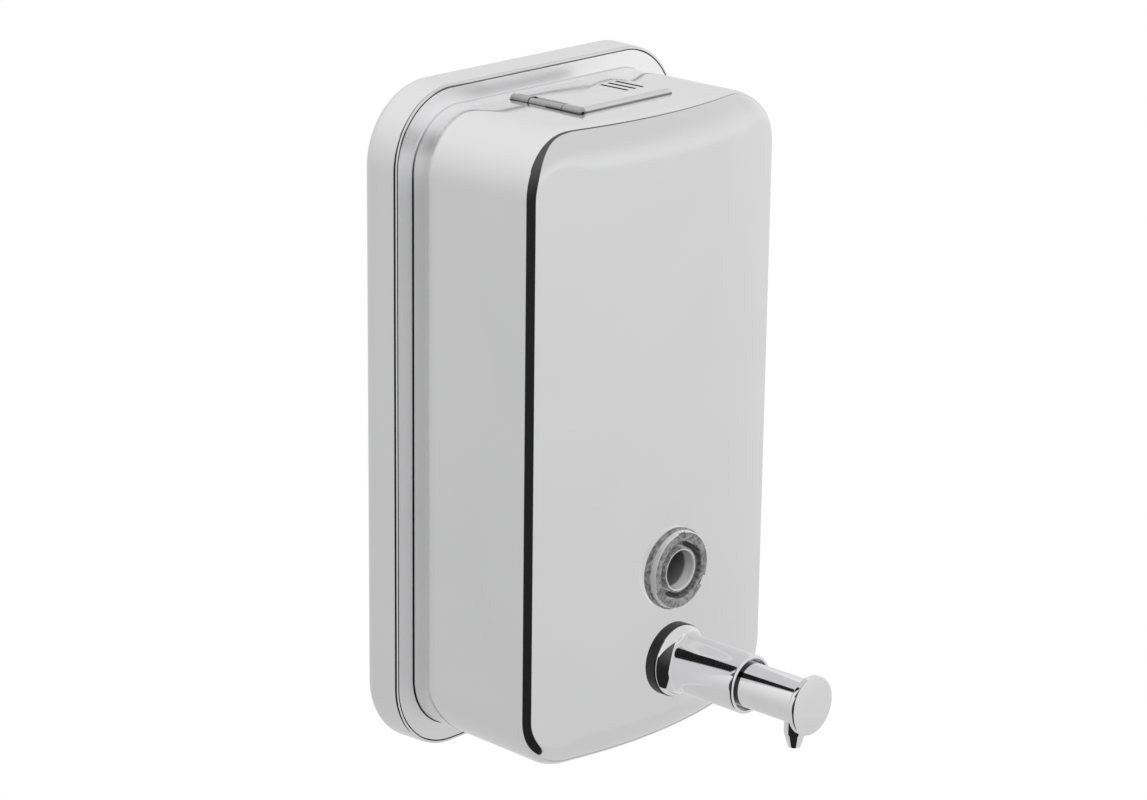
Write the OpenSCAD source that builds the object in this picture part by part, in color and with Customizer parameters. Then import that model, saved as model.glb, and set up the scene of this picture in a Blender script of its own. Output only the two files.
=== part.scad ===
// Wall mounted soap dispenser: a deep-drawn steel tank on a back pan that hangs on a hidden
// wall bracket, a push pump and a sight glass in the bowed front, and a locked filler lid on top.
// X runs to the right, Y into the wall and Z up, in millimetres. The origin is on the wall
// plane, at the centre of the back pan. A depth is a distance out from the wall, so y = -depth.

/* [Back pan] */
// Width of the back pan
pan_w = 121; // [112:1:150]
// Height of the back pan
pan_h = 205; // [196:1:250]
// Depth from the wall to the pan's rim
pan_d = 13.5; // [12.5:0.5:18]
// Corner radius of the pan's outline
pan_r = 23.5; // [20:0.5:30]
// Radius of the pan's rounded edge at the wall
pan_edge_r = 4; // [2.5:0.5:5]
// Draft of the pan's side walls over their depth
pan_draft = 0.4; // [0:0.1:0.8]
// Sheet thickness of the pan
pan_t = 0.8; // [0.6:0.1:1]
// Seam between the pan's rim and the tank's flange
rim_seam = 0.4; // [0.2:0.1:0.8]

/* [Tank shell] */
// Width of the flat strip from the pan's outline to the tank's side wall
strip_w = 7.5; // [6:0.1:10]
// Height of the flat strip from the pan's outline to the tank's top or bottom wall
strip_h = 6.6; // [6:0.1:10]
// Corner radius of the tank wall
tank_r = 18.4; // [15:0.2:22]
// Sheet thickness of the shell
shell_t = 1; // [0.8:0.1:1.2]
// Length of the side wall, from the flange to the sharp front corner
side_len = 46.4; // [44:0.2:60]
// Bow of the front face, from its side edges to its middle
bow = 9.8; // [8:0.1:12]
// Draft of each side wall over its length
draft = 0.4; // [0:0.1:1.5]
// Fall of the tank's bottom wall towards the front
bottom_fall = 1.2; // [0:0.1:2]
// Radius of the bend between side wall and front
side_bend_r = 2.8; // [2:0.1:5]
// Radius of the bend between top or bottom wall and front
end_bend_r = 11; // [6:0.5:12]
// Radius of the bend between flange and tank wall
root_r = 0.6; // [0.4:0.1:2]
// Thickness of the sheet that closes the tank at the back
back_t = 0.8; // [0.6:0.1:1.2]

/* [Wall bracket] */
// Width of the bracket plate
bracket_w = 56; // [50:1:64]
// Height of the bracket plate above the origin
bracket_top = 56; // [52:1:64]
// Height of the bracket's lock tab above the pan's bottom
tab_up = 18.5; // [17:0.5:22]
// Thickness of the bracket plate
bracket_t = 1.5; // [1.2:0.1:2]
// Distance between the wall screw holes, sideways
screw_dx = 40; // [34:1:44]
// Distance between the wall screw holes, up and down
screw_dz = 114; // [104:1:118]
// Radius of the wall screw holes
screw_hole_r = 2.5; // [2:0.1:3]
// Depth of the pocket in the pan's back that takes the bracket and its screw heads
pocket_d = 5; // [4:0.1:5.2]
// Width of a hook
hook_w = 10; // [8:0.5:12]
// Height of the upturned lip of a hook
hook_lip = 5; // [3:0.5:6]
// Distance between the two hooks of a row
hook_dx = 34; // [30:1:38]
// Height of the upper row of hooks
hook_top_z = 22; // [14:1:28]
// Height of the lower row of hooks
hook_low_z = -44; // [-50:1:-36]
// Radius of the lock screw's shank
lock_screw_r = 2; // [1.5:0.1:2.2]

/* [Filler lid] */
// Length of the lid, side to side
lid_w = 40; // [36:0.5:44]
// Depth of the lid, rear to front
lid_l = 27.4; // [25.4:0.2:29]
// Depth of the lid's rear edge from the wall
lid_rear = 20.3; // [19.5:0.1:21.5]
// Height of the lid above the tank's top
lid_h = 1.5; // [1.2:0.1:2]
// Sheet thickness of the lid
lid_t = 0.8; // [0.6:0.1:0.8]
// Corner radius of the lid
lid_r = 2; // [1.6:0.1:3]
// Overlap of the lid past the filler opening
lid_lap = 1.6; // [1.2:0.1:2]
// Radius of the rolled hinge edge of the lid
knuckle_r = 1.5; // [1.4:0.05:1.8]
// Radius of the lid's hinge pin
hinge_pin_r = 0.5; // [0.4:0.05:0.6]
// Length of the hinge bracket's knuckle
hinge_len = 12.8; // [10:0.2:15]

/* [Lock] */
// Number of key slits
slit_n = 3; // [2:1:3]
// Distance between the key slits
slit_pitch = 3.3; // [3:0.05:3.6]
// Width of a key slit
slit_w = 1.2; // [0.8:0.1:1.3]
// Length of a key slit
slit_len = 10.8; // [10:0.1:12]
// Distance of the slits' middle in front of the lid's middle
slit_ahead = 1.2; // [0:0.1:1.6]
// Distance from the last slit to the lid's end
slit_edge = 4.8; // [4.6:0.1:5.4]
// Travel of the lock bolt
bolt_travel = 4; // [3:0.5:4.5]
// Thickness of the lock bolt
bolt_t = 1.3; // [1:0.1:1.5]

/* [Sight glass] */
// Distance from the pump's axis up to the sight glass's centre
glass_up = 28.6; // [28.4:0.1:34]
// Radius of the sight glass's rear flange
glass_flange_r = 12.5; // [11.5:0.1:13]
// Radius of the sight glass's front ring
glass_ring_r = 11.8; // [10.8:0.1:12]
// How far the sight glass stands out of the shell
glass_out = 3.2; // [2.5:0.1:4]
// Radius of the groove round the cup
glass_groove_r = 8.9; // [8.5:0.1:9.4]
// Outer radius of the cup
glass_cup_r = 7; // [6.5:0.1:7.4]
// Wall of the cup
glass_wall = 1; // [0.8:0.1:1.4]
// Radius of the sight glass's threaded shank
glass_shank_r = 9.8; // [9.7:0.1:10.2]

/* [Pump outside] */
// Height of the pump's axis above the tank's bottom
pump_up = 26.1; // [25:0.1:32]
// Radius of the black seat ring
seat_r = 11.2; // [10.6:0.1:12]
// Thickness of the black seat ring
seat_t = 3.2; // [2:0.2:4]
// Radius of the pump collar's foot
collar_r = 10.9; // [10.2:0.1:11.4]
// Length of the collar's cone
cone_len = 4.6; // [3:0.2:6]
// Radius of the sleeve
sleeve_r = 8.9; // [8.6:0.1:9.4]
// Length of the sleeve in front of the cone
sleeve_len = 22.6; // [20:0.2:26]
// Radius of the recess in the sleeve's mouth
mouth_r = 7.7; // [7.3:0.1:7.9]
// Depth of the recess in the sleeve's mouth
mouth_len = 6; // [3:0.5:8]
// Radius of the plunger tube
plunger_r = 6.8; // [6.4:0.1:6.9]
// Length of the plunger in front of the sleeve, without its cap
plunger_out = 21.4; // [20.8:0.2:24]
// Radius of the plunger's end cap
cap_r = 8.9; // [8:0.1:9.5]
// Thickness of the end cap
cap_t = 2.2; // [1.4:0.1:3]
// Radius of the nozzle where it leaves the plunger
nozzle_r = 3.2; // [2.6:0.1:3.4]
// Radius of the nozzle's tip
nozzle_tip_r = 1.95; // [1.7:0.05:2.2]
// Radius of the nozzle's bore
nozzle_bore_r = 1.2; // [0.9:0.1:1.3]
// Length of the nozzle's tapered end
nozzle_taper = 4.2; // [3:0.1:5]
// Distance from the nozzle to the end cap
nozzle_gap = 1.1; // [0.8:0.1:1.2]
// Distance from the pump's axis to the nozzle's tip
nozzle_drop = 14.4; // [13:0.2:16]
// Press travel of the plunger
travel = 12; // [9:0.5:12]

/* [Pump inside] */
// Radius of the threaded shank through the shell
shank_r = 8.6; // [8.2:0.1:8.8]
// Length of the shank inside the tank, from the front's outer side
shank_len = 17; // [16:0.5:19]
// Radius of the cylinder's bore
bore_r = 7.6; // [7.3:0.1:7.9]
// Outer radius of the pump cylinder
cyl_r = 9.8; // [9.6:0.1:10.5]
// Gap between the pump cylinder and the tank's back
cyl_gap = 2.2; // [1:0.2:3]
// Lap of the pump cylinder over the sleeve's shank
cyl_lap = 5; // [4:0.5:7]
// Length of the piston
piston_len = 9; // [8:0.5:10]
// Outer radius of the inlet tube
inlet_r = 4; // [3.6:0.1:4.5]
// Radius of the inlet tube's bore
inlet_bore_r = 2.6; // [2.4:0.1:2.8]
// Gap between the inlet tube and the tank's floor
inlet_gap = 4; // [3:0.5:6]
// Radius of the inlet ball
inlet_ball_r = 2; // [1.8:0.1:2.2]
// Lift of the inlet ball off its seat
inlet_lift = 1.5; // [1:0.1:2]
// Depth of the outlet valve's seat behind the piston's front
seat_in = 3; // [2.5:0.5:4]
// Length of the outlet valve's cage in front of the piston
cage_len = 12; // [11:0.5:14]
// Radius of the outlet ball
outlet_ball_r = 2; // [1.8:0.1:2.2]
// Lift of the outlet ball off its seat
outlet_lift = 1.5; // [1:0.1:2]
// Wire radius of the return spring
wire_r = 0.5; // [0.4:0.05:0.6]
// Coil radius of the return spring
coil_r = 5.8; // [5.4:0.1:6.2]
// Turns of the return spring
coil_turns = 6; // [4:1:8]
// Width across flats of both nuts
nut_flats = 27; // [26:0.5:28]
// Thickness of both nuts
nut_t = 4; // [3:0.5:5]
// Thickness of the two inner gaskets
gasket_t = 1.2; // [1:0.1:2]

/* [Clearances] */
// Radial clearance of a turning or sliding fit
run_gap = 0.05; // [0.03:0.01:0.1]
// Clearance between flat faces that slide
slide_gap = 0.1; // [0.05:0.05:0.2]
// Clearance of a loose hole or an assembly joint
loose_gap = 0.3; // [0.2:0.05:0.4]
// Smallest gap between pieces that pass each other
pass_gap = 0.2; // [0.1:0.05:0.3]

/* [Hidden] */

$fn = 72;
corner_steps = 8;                          // chords in a quarter of an outline's corner
bend_steps = 7;                            // chords across a bend of the shell
bow_steps = 16;                            // chords across the bowed front
eps = 0.01;

// Tank: half sizes at the flange and at the front, and the arc of the front face
tank_hw = pan_w / 2 - strip_w;
tank_hh = pan_h / 2 - strip_h;
front_hw = tank_hw - draft;
bow_r = (front_hw * front_hw + bow * bow) / (2 * bow);
front_d = pan_d + side_len + bow;
inner_front_d = front_d - shell_t;
flange_inset = pan_draft + pan_t + rim_seam;
back_d = pan_d - shell_t - back_t;
under_top = tank_hh - shell_t;

// Lid and its hinge
lid_front = lid_rear + lid_l;
lid_mid = lid_rear + lid_l / 2;
lid_top_z = tank_hh + lid_h;
lid_under_z = lid_top_z - lid_t;
hinge_x = -lid_w / 2 + knuckle_r;
hinge_z = lid_top_z - knuckle_r;
fixed_knuckle_r = knuckle_r - slide_gap;
opening_rear = lid_rear + lid_lap;
opening_front = lid_front - lid_lap;
opening_right = lid_w / 2 - lid_lap;

// Lock: a housing under the lid, and a bolt that slides forward below the tank's top
housing_wall = 0.8;
slit_mid = lid_mid + slit_ahead;
slit_last_x = lid_w / 2 - slit_edge;
slit_first_x = slit_last_x - (slit_n - 1) * slit_pitch;
bolt_left = slit_first_x - slit_w / 2 - 1;
bolt_right = slit_last_x + slit_w / 2 + 0.5;
bolt_top_z = under_top - loose_gap - slide_gap;
bolt_low_z = bolt_top_z - bolt_t;
housing_low_z = bolt_low_z - slide_gap - housing_wall;
housing_rear = opening_rear + 2;
housing_front = opening_front - 2;
bolt_rear = housing_rear + housing_wall + slide_gap;
bolt_front = opening_front - 0.5;

// Wall bracket: hooks and lock tab, and the screw between them and the tank's back
pocket_floor_d = pocket_d + pan_t;
hook_t = 1.4;
hook_lip_d = pocket_floor_d + pass_gap;
tab_w = 16;
tab_z = -pan_h / 2 + tab_up;
bracket_mid_z = (bracket_top + tab_z) / 2;
lock_screw_d = (pocket_floor_d + back_d) / 2;

// Sight glass and pump, by height
pump_z = -tank_hh + pump_up;
glass_z = pump_z + glass_up;
glass_shank_len = 14;

// Nuts pull up against the flat side of the gaskets
nut_face_d = inner_front_d - slide_gap - gasket_t;

// Pump, by depth from the wall
collar_d = front_d + seat_t;
cone_d = collar_d + 0.6;
sleeve_d = cone_d + cone_len;
mouth_d = sleeve_d + sleeve_len;
plunger_end_d = mouth_d + plunger_out;
cap_end_d = plunger_end_d + cap_t;
nozzle_d = plunger_end_d - nozzle_gap - nozzle_r;
shank_end_d = front_d - shank_len;
cyl_end_d = shank_end_d + cyl_lap;
cyl_floor_t = 2;
bore_rear_d = pan_d + cyl_gap + cyl_floor_t;
piston_front_d = shank_end_d - pass_gap;
piston_rear_d = piston_front_d - piston_len;
plunger_bore_r = plunger_r - 1.4;

// Piston ring
seal_r = 0.7;
seal_centre_r = bore_r - run_gap / 2 - seal_r;
groove_d = piston_rear_d + piston_len / 2;

// Valves: a ball on the edge of a port
port_r = 1.3;
ball_gap = 0.03;
function ball_height(r) = sqrt(r * r - port_r * port_r) + ball_gap;
outlet_seat_d = piston_front_d - seat_in;
outlet_end_d = piston_front_d + cage_len;
outlet_ball_d = outlet_seat_d + ball_height(outlet_ball_r);
inlet_d = bore_rear_d + inlet_r + 1;
inlet_low_z = -tank_hh + shell_t + inlet_gap;
inlet_seat_z = pump_z - cyl_r - 5;
inlet_ball_z = inlet_seat_z + ball_height(inlet_ball_r);

// ---------------------------------------------------------------- shared forms

// Places a drawing on the plane at depth d: its Y becomes up and its Z points out of the wall.
module out_from(d) {
    translate([0, -d, 0]) rotate([90, 0, 0]) children();
}

// A turned piece on an axis square to the wall, from points of [radius, depth].
module turned(profile, z) {
    translate([0, 0, z]) rotate([90, 0, 0]) rotate_extrude() polygon(profile);
}

// A round bar on an axis square to the wall.
module bar(r, d0, d1, z) {
    translate([0, 0, z]) out_from(d0) cylinder(h = d1 - d0, r = r);
}

// A box given by its least and greatest x, depth and z.
module block(x0, x1, d0, d1, z0, z1) {
    translate([x0, -d1, z0]) cube([x1 - x0, d1 - d0, z1 - z0]);
}

module rounded_rect(w, h, r) {
    union() {
        square([w - 2 * r, h], center = true);
        square([w, h - 2 * r], center = true);
        for (sx = [-1, 1], sy = [-1, 1])
            translate([sx * (w / 2 - r), sy * (h / 2 - r)]) circle(r = r);
    }
}

// Points [x, y, direction outwards] round a rounded rectangle, anticlockwise from the right.
function corner_points(hw, hh, r, sx, sy, from, steps) = [
    for (i = [0:steps])
        let (a = from + 90 * i / steps)
        [sx * (hw - r) + r * cos(a), sy * (hh - r) + r * sin(a), a]
];
function edge_points(hw, hh, r, side, steps) = [
    for (i = [1:1:steps - 1])
        [side * (hw - r) * (1 - 2 * i / steps), side * hh, side > 0 ? 90 : 270]
];
function outline(hw, hh, r, corner, edge) = concat(
    corner_points(hw, hh, r, 1, 1, 0, corner),
    edge_points(hw, hh, r, 1, edge),
    corner_points(hw, hh, r, -1, 1, 90, corner),
    corner_points(hw, hh, r, -1, -1, 180, corner),
    edge_points(hw, hh, r, -1, edge),
    corner_points(hw, hh, r, 1, -1, 270, corner)
);
// The outline moved inwards by d, at one height.
function ring_at(path, d, z) = [for (p = path) [p[0] - d * cos(p[2]), p[1] - d * sin(p[2]), z]];

// A pressed sheet: rings of its outer side and its inner side, from the edge to the closed end.
// The closed end is filled by strips between points that face each other across the outline.
module pressed_sheet(outer, inner) {
    n = len(outer[0]);
    m = len(outer);
    points = concat([for (ring = outer) each ring], [for (ring = inner) each ring]);
    base = m * n;
    walls = [
        for (j = [0:m - 2], i = [0:n - 1])
            let (k = (i + 1) % n)
            each [
                [j * n + i, (j + 1) * n + i, (j + 1) * n + k, j * n + k],
                [base + j * n + k, base + (j + 1) * n + k, base + (j + 1) * n + i, base + j * n + i]
            ]
    ];
    ends = [
        for (k = [0:n / 2 - 2])
            let (o = (m - 1) * n, q = [n - 1 - k, n - 2 - k, k + 1, k])
            each [
                [for (v = q) o + v],
                [for (v = [q[3], q[2], q[1], q[0]]) base + o + v]
            ]
    ];
    edge = [
        for (i = [0:n - 1])
            let (k = (i + 1) % n)
            [base + i, i, k, base + k]
    ];
    polyhedron(points = points, faces = concat(walls, ends, edge), convexity = 6);
}

// Rings of a quarter bend of radius r that ends flat at height z.
function bend_rings(path, r, z, steps, inset = 0) = [
    for (i = [0:steps])
        let (a = 90 * i / steps)
        ring_at(path, inset + r * (1 - cos(a)), z - r * (1 - sin(a)))
];

// ---------------------------------------------------------------- tank shell

// Depth of the front face at x, and how fast it falls back towards the sides.
function front_depth(x) = front_d - bow_r + sqrt(bow_r * bow_r - x * x);
function front_slope(x) = x / sqrt(bow_r * bow_r - x * x);
// Radius of the front bend where the outline faces direction a.
function bend_radius(a) = side_bend_r + (end_bend_r - side_bend_r) * pow(sin(a), 2);

// One ring of the front bend, at share t of its turn. The inner side is t_in thick below it.
function front_ring(path, t, t_in) = [
    for (p = path)
        let (
            r = bend_radius(p[2]) - t_in,
            s = front_slope(p[0]) * cos(p[2]),
            a = t * (90 - atan(s)),
            x = p[0] - r * (1 - cos(a)) * cos(p[2]),
            y = p[1] - r * (1 - cos(a)) * sin(p[2]),
            drop = r * (s * cos(a) + sin(a) - sqrt(1 + s * s))
        )
        [x, y, front_depth(x) - t_in * sqrt(1 + pow(front_slope(x), 2)) + drop]
];

// The front's outline reaches further down than the tank's outline at the flange.
function front_outline(t_in) = [
    for (p = outline(front_hw - t_in, tank_hh + bottom_fall / 2 - t_in, tank_r - t_in,
                     corner_steps, bow_steps))
        [p[0], p[1] - bottom_fall / 2, p[2]]
];

// The shell's outer side for t_in = 0, its inner side for t_in = shell_t.
function shell_side(t_in) =
    let (
        flange = outline(pan_w / 2 - flange_inset, pan_h / 2 - flange_inset,
                         pan_r - flange_inset, corner_steps, bow_steps),
        root = outline(tank_hw - t_in, tank_hh - t_in, tank_r - t_in, corner_steps, bow_steps),
        front = front_outline(t_in),
        r = root_r + t_in
    )
    concat(
        [ring_at(flange, 0, pan_d - t_in)],
        [for (i = [0:3]) ring_at(root, -r * (1 - sin(30 * i)), pan_d - t_in + r * (1 - cos(30 * i)))],
        [for (i = [0:bend_steps]) front_ring(front, i / bend_steps, t_in)]
    );

// The solid behind the bowed front face, or behind a face inset from it.
module front_cylinder(inset) {
    translate([0, bow_r - front_d, -tank_hh - 1])
        cylinder(h = 2 * tank_hh + 2, r = bow_r - inset, $fn = 360);
}

module filler_opening() {
    block(hinge_x - knuckle_r - loose_gap, hinge_x + knuckle_r + loose_gap,
          lid_rear - loose_gap, lid_front + loose_gap, under_top - 1, tank_hh + 1);
    block(hinge_x, opening_right, opening_rear, opening_front, under_top - 1, tank_hh + 1);
}

module front_shell() {
    color("silver") difference() {
        rotate([90, 0, 0]) pressed_sheet(shell_side(0), shell_side(shell_t));
        filler_opening();
        bar(glass_shank_r + loose_gap, inner_front_d - bow, front_d + 1, glass_z);
        bar(shank_r + loose_gap, inner_front_d - bow, front_d + 1, pump_z);
    }
}

module tank_back() {
    inset = pan_draft + pan_t + loose_gap;
    color("silver") out_from(back_d) linear_extrude(back_t)
        rounded_rect(pan_w - 2 * inset, pan_h - 2 * inset, pan_r - inset);
}

// ---------------------------------------------------------------- back pan and wall bracket

// Rings of the pan's outer side for t_in = 0, of its inner side for t_in = pan_t.
function pan_side(t_in) =
    let (
        path = outline(pan_w / 2, pan_h / 2, pan_r, corner_steps, 1),
        lip = pan_t * 0.7,
        bend_z = pan_d - pan_edge_r
    )
    concat(
        [
            for (i = [0:3])
                let (a = 30 * i, z = lip * (1 - cos(a)))
                ring_at(path, max(t_in, lip * (1 - sin(a))) + pan_draft * (1 - z / bend_z), z)
        ],
        bend_rings(path, pan_edge_r - t_in, pan_d - t_in, 5, t_in)
    );

module hook_places() {
    for (sx = [-1, 1], z = [hook_top_z, hook_low_z]) translate([sx * hook_dx / 2, 0, z]) children();
}

module pocket(inset, d0, d1) {
    side = bracket_w / 2 + 2 - inset;
    block(-side, side, d0, d1, tab_z - 9 + inset, bracket_top + 8 - inset);
}

module back_pan() {
    slot_low = -hook_lip - loose_gap;
    color("gainsboro") difference() {
        union() {
            translate([0, -pan_d, 0]) rotate([-90, 0, 0]) pressed_sheet(pan_side(0), pan_side(pan_t));
            pocket(-pan_t, pan_t / 2, pocket_floor_d);
        }
        pocket(0, -1, pocket_d);
        hook_places()
            block(-hook_w / 2 - loose_gap, hook_w / 2 + loose_gap, pocket_d - 1, pocket_floor_d + 1,
                  slot_low, hook_t);
        block(-tab_w / 2 - loose_gap, tab_w / 2 + loose_gap, pocket_d - 1, pocket_floor_d + 1,
              tab_z + slot_low, tab_z + bracket_t + loose_gap);
        translate([0, -lock_screw_d, -pan_h / 2 - 1])
            cylinder(h = pan_edge_r + 2, r = lock_screw_r + loose_gap);
    }
}

module wall_bracket() {
    color("lightgray") difference() {
        union() {
            translate([0, 0, bracket_mid_z]) out_from(0) linear_extrude(bracket_t)
                rounded_rect(bracket_w, bracket_top - tab_z, 4);
            hook_places() {
                block(-hook_w / 2, hook_w / 2, bracket_t - eps, hook_lip_d + hook_t, 0, hook_t);
                block(-hook_w / 2, hook_w / 2, hook_lip_d, hook_lip_d + hook_t, 0, hook_t + hook_lip);
            }
            block(-tab_w / 2, tab_w / 2, bracket_t - eps, back_d - pass_gap, tab_z, tab_z + bracket_t);
        }
        translate([0, 0, bracket_mid_z])
            for (sx = [-1, 1], sz = [-1, 1])
                translate([sx * screw_dx / 2, 0, sz * screw_dz / 2]) out_from(-1)
                    cylinder(h = bracket_t + 2, r = screw_hole_r);
        translate([0, -lock_screw_d, tab_z - 1]) cylinder(h = bracket_t + 2, r = lock_screw_r);
    }
}

module bracket_lock_screw() {
    head_h = 2.2;
    head_r = lock_screw_r + 1.6;
    cross = lock_screw_r;
    low = -pan_h / 2 - head_h;
    color("silver") translate([0, -lock_screw_d, low]) difference() {
        union() {
            cylinder(h = head_h, r1 = head_r - 0.6, r2 = head_r);
            cylinder(h = tab_z + bracket_t + 1.5 - low, r = lock_screw_r);
        }
        for (a = [0, 90])
            rotate(a) translate([-cross, -0.4, -eps]) cube([2 * cross, 0.8, 1.2]);
    }
}

// ---------------------------------------------------------------- filler lid and lock

module hinge_bar(r, d0, d1) {
    translate([hinge_x, 0, hinge_z]) out_from(d0) cylinder(h = d1 - d0, r = r, $fn = 48);
}

module lid_slits(low_z) {
    for (i = [0:slit_n - 1])
        translate([slit_first_x + i * slit_pitch, -slit_mid, low_z])
            linear_extrude(lid_top_z + 1 - low_z) rounded_rect(slit_w, slit_len, slit_w * 0.49);
}

// A pressed plate with rounded edges, whose left end is rolled round the pin. The roll is
// notched in the middle for the fixed knuckle.
module lid() {
    path = outline(lid_w / 2, lid_l / 2, lid_r, 4, 1);
    edge_r = lid_h - slide_gap;
    notch_half = hinge_len / 2 + loose_gap;
    color("whitesmoke") difference() {
        union() {
            intersection() {
                translate([0, -lid_mid, 0]) pressed_sheet(
                    bend_rings(path, edge_r, lid_top_z, 4),
                    bend_rings(path, edge_r - lid_t, lid_under_z, 4, lid_t));
                block(hinge_x, lid_w, lid_rear - 1, lid_front + 1, tank_hh, lid_top_z + 1);
            }
            hinge_bar(knuckle_r, lid_rear, lid_front);
        }
        hinge_bar(hinge_pin_r + run_gap, lid_rear - 1, lid_front + 1);
        block(hinge_x - knuckle_r - 1, hinge_x + fixed_knuckle_r + pass_gap,
              lid_mid - notch_half, lid_mid + notch_half, hinge_z - knuckle_r - 1, lid_top_z + 1);
        lid_slits(lid_under_z - 1);
    }
}

// A leaf welded below the tank's top, which dips under the lid's roll and carries the
// fixed knuckle.
module lid_hinge_bracket() {
    dip_z = hinge_z - knuckle_r - pass_gap;
    leaf_low = dip_z - 0.9;
    leaf_end = hinge_x - 9;
    step_x = hinge_x - knuckle_r - loose_gap - pass_gap;
    color("lightgray") difference() {
        union() {
            hinge_bar(fixed_knuckle_r, lid_mid - hinge_len / 2, lid_mid + hinge_len / 2);
            out_from(lid_mid - hinge_len / 2) linear_extrude(hinge_len) polygon([
                [leaf_end, under_top], [step_x, under_top], [step_x, dip_z], [hinge_x, dip_z],
                [hinge_x, hinge_z], [hinge_x + fixed_knuckle_r, hinge_z],
                [hinge_x + fixed_knuckle_r, leaf_low], [leaf_end, leaf_low]
            ]);
        }
        hinge_bar(hinge_pin_r, lid_rear, lid_front);
    }
}

module lid_hinge_pin() {
    color("silver") hinge_bar(hinge_pin_r, lid_rear + 0.4, lid_front - 0.4);
}

module lock_housing() {
    color("dimgray") difference() {
        block(bolt_left - slide_gap - housing_wall, bolt_right + slide_gap + housing_wall,
              housing_rear, housing_front, housing_low_z, lid_under_z);
        block(bolt_left - slide_gap, bolt_right + slide_gap, housing_rear + housing_wall,
              housing_front + 1, bolt_low_z - slide_gap, bolt_top_z + slide_gap);
        lid_slits(bolt_low_z);
    }
}

// The bolt has one short slot below each slit, where the key's prongs take hold.
module lock_bolt() {
    slot_d = slit_mid - slit_len / 2 + 0.4;
    slot_len = slit_len - bolt_travel - 0.8;
    color("goldenrod") difference() {
        block(bolt_left, bolt_right, bolt_rear, bolt_front, bolt_low_z, bolt_top_z);
        for (i = [0:slit_n - 1])
            translate([slit_first_x + i * slit_pitch, 0, 0])
                block(-slit_w / 2, slit_w / 2, slot_d, slot_d + slot_len, bolt_low_z - 1, bolt_top_z + 1);
    }
}

// ---------------------------------------------------------------- sight glass

// A turned plug: a flange and a ring in front of the shell, a groove round the open cup, and
// a threaded shank through the shell. Three notches in the ring take a spanner.
module sight_glass() {
    seat_d = front_depth(glass_flange_r) - 0.5;
    flange_d = front_d + 1.5;
    rim_d = front_d + glass_out;
    groove_end_d = front_d - 3;
    shank_d = front_d - glass_shank_len;
    cup_in_r = glass_cup_r - glass_wall;
    color("gainsboro", 0.6) difference() {
        turned([
            [0, shank_d], [glass_shank_r, shank_d], [glass_shank_r, seat_d], [glass_flange_r, seat_d],
            [glass_flange_r, flange_d - 0.4], [glass_flange_r - 0.4, flange_d],
            [glass_ring_r, flange_d], [glass_ring_r, rim_d - 0.5], [glass_ring_r - 0.5, rim_d],
            [glass_groove_r + 0.4, rim_d], [glass_groove_r, rim_d - 0.4],
            [glass_groove_r, groove_end_d], [glass_cup_r, groove_end_d],
            [glass_cup_r, rim_d - 0.7], [glass_cup_r - 0.3, rim_d - 0.4],
            [cup_in_r + 0.2, rim_d - 0.4], [cup_in_r, rim_d - 0.7],
            [cup_in_r - 0.3, shank_d + 2], [0, shank_d + 2]
        ], glass_z);
        intersection() {
            bar(glass_flange_r + 1, front_d - bow, front_d + 1, glass_z);
            difference() {
                front_cylinder(0);
                bar(glass_shank_r, front_d - bow, front_d + 1, glass_z);
            }
        }
        for (a = [60, 180, 300])
            translate([0, 0, glass_z]) rotate([0, a, 0])
                block(glass_groove_r + 1.4, glass_ring_r + 1, rim_d - 0.7, rim_d + 1, -1.5, 1.5);
    }
}

// A ring that lies against the bowed inside of the shell's front.
module inner_gasket(r_in, r_out, z) {
    color([0.12, 0.12, 0.12]) intersection() {
        difference() {
            bar(r_out, inner_front_d - gasket_t - 1, inner_front_d + 1, z);
            bar(r_in, inner_front_d - gasket_t - 2, inner_front_d + 2, z);
            bar(r_out + 1, inner_front_d - gasket_t - 2, nut_face_d, z);
        }
        front_cylinder(shell_t + slide_gap);
    }
}
module hex_nut(r_in, z) {
    color("ivory") translate([0, 0, z]) out_from(nut_face_d - nut_t) difference() {
        intersection() {
            cylinder(h = nut_t, r = nut_flats / sqrt(3), $fn = 6);
            cylinder(h = nut_t, r = nut_flats / 2 + 1);
        }
        translate([0, 0, -1]) cylinder(h = nut_t + 2, r = r_in);
    }
}

module sight_glass_gasket() {
    inner_gasket(glass_shank_r + run_gap, glass_shank_r + 3, glass_z);
}
module sight_glass_nut() {
    hex_nut(glass_shank_r, glass_z);
}

// ---------------------------------------------------------------- pump

module pump_seat_ring() {
    rear_d = front_depth(seat_r) - 0.5;
    color([0.1, 0.1, 0.1]) difference() {
        turned([
            [shank_r + run_gap, rear_d], [seat_r, rear_d],
            [seat_r, collar_d - 0.4], [seat_r - 0.4, collar_d], [shank_r + run_gap, collar_d]
        ], pump_z);
        front_cylinder(0);
    }
}

module pump_sleeve() {
    lip = 0.5;
    color("silver") turned([
        [plunger_r + run_gap, shank_end_d], [shank_r, shank_end_d], [shank_r, collar_d],
        [collar_r, collar_d], [collar_r, cone_d],
        for (i = [1:4]) let (a = 90 * i / 4)
            [sleeve_r + (collar_r - sleeve_r) * (1 - sin(a)), cone_d + cone_len * (1 - cos(a))],
        for (i = [0:4]) let (a = 90 * i / 4)
            [sleeve_r - lip * (1 - cos(a)), mouth_d - lip * (1 - sin(a))],
        [mouth_r + lip * 0.6, mouth_d], [mouth_r, mouth_d - lip * 0.6],
        [mouth_r, mouth_d - mouth_len], [plunger_r + run_gap, mouth_d - mouth_len]
    ], pump_z);
}

module pump_gasket() {
    inner_gasket(shank_r + run_gap, shank_r + 3.6, pump_z);
}
module pump_lock_nut() {
    hex_nut(shank_r, pump_z);
}

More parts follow.
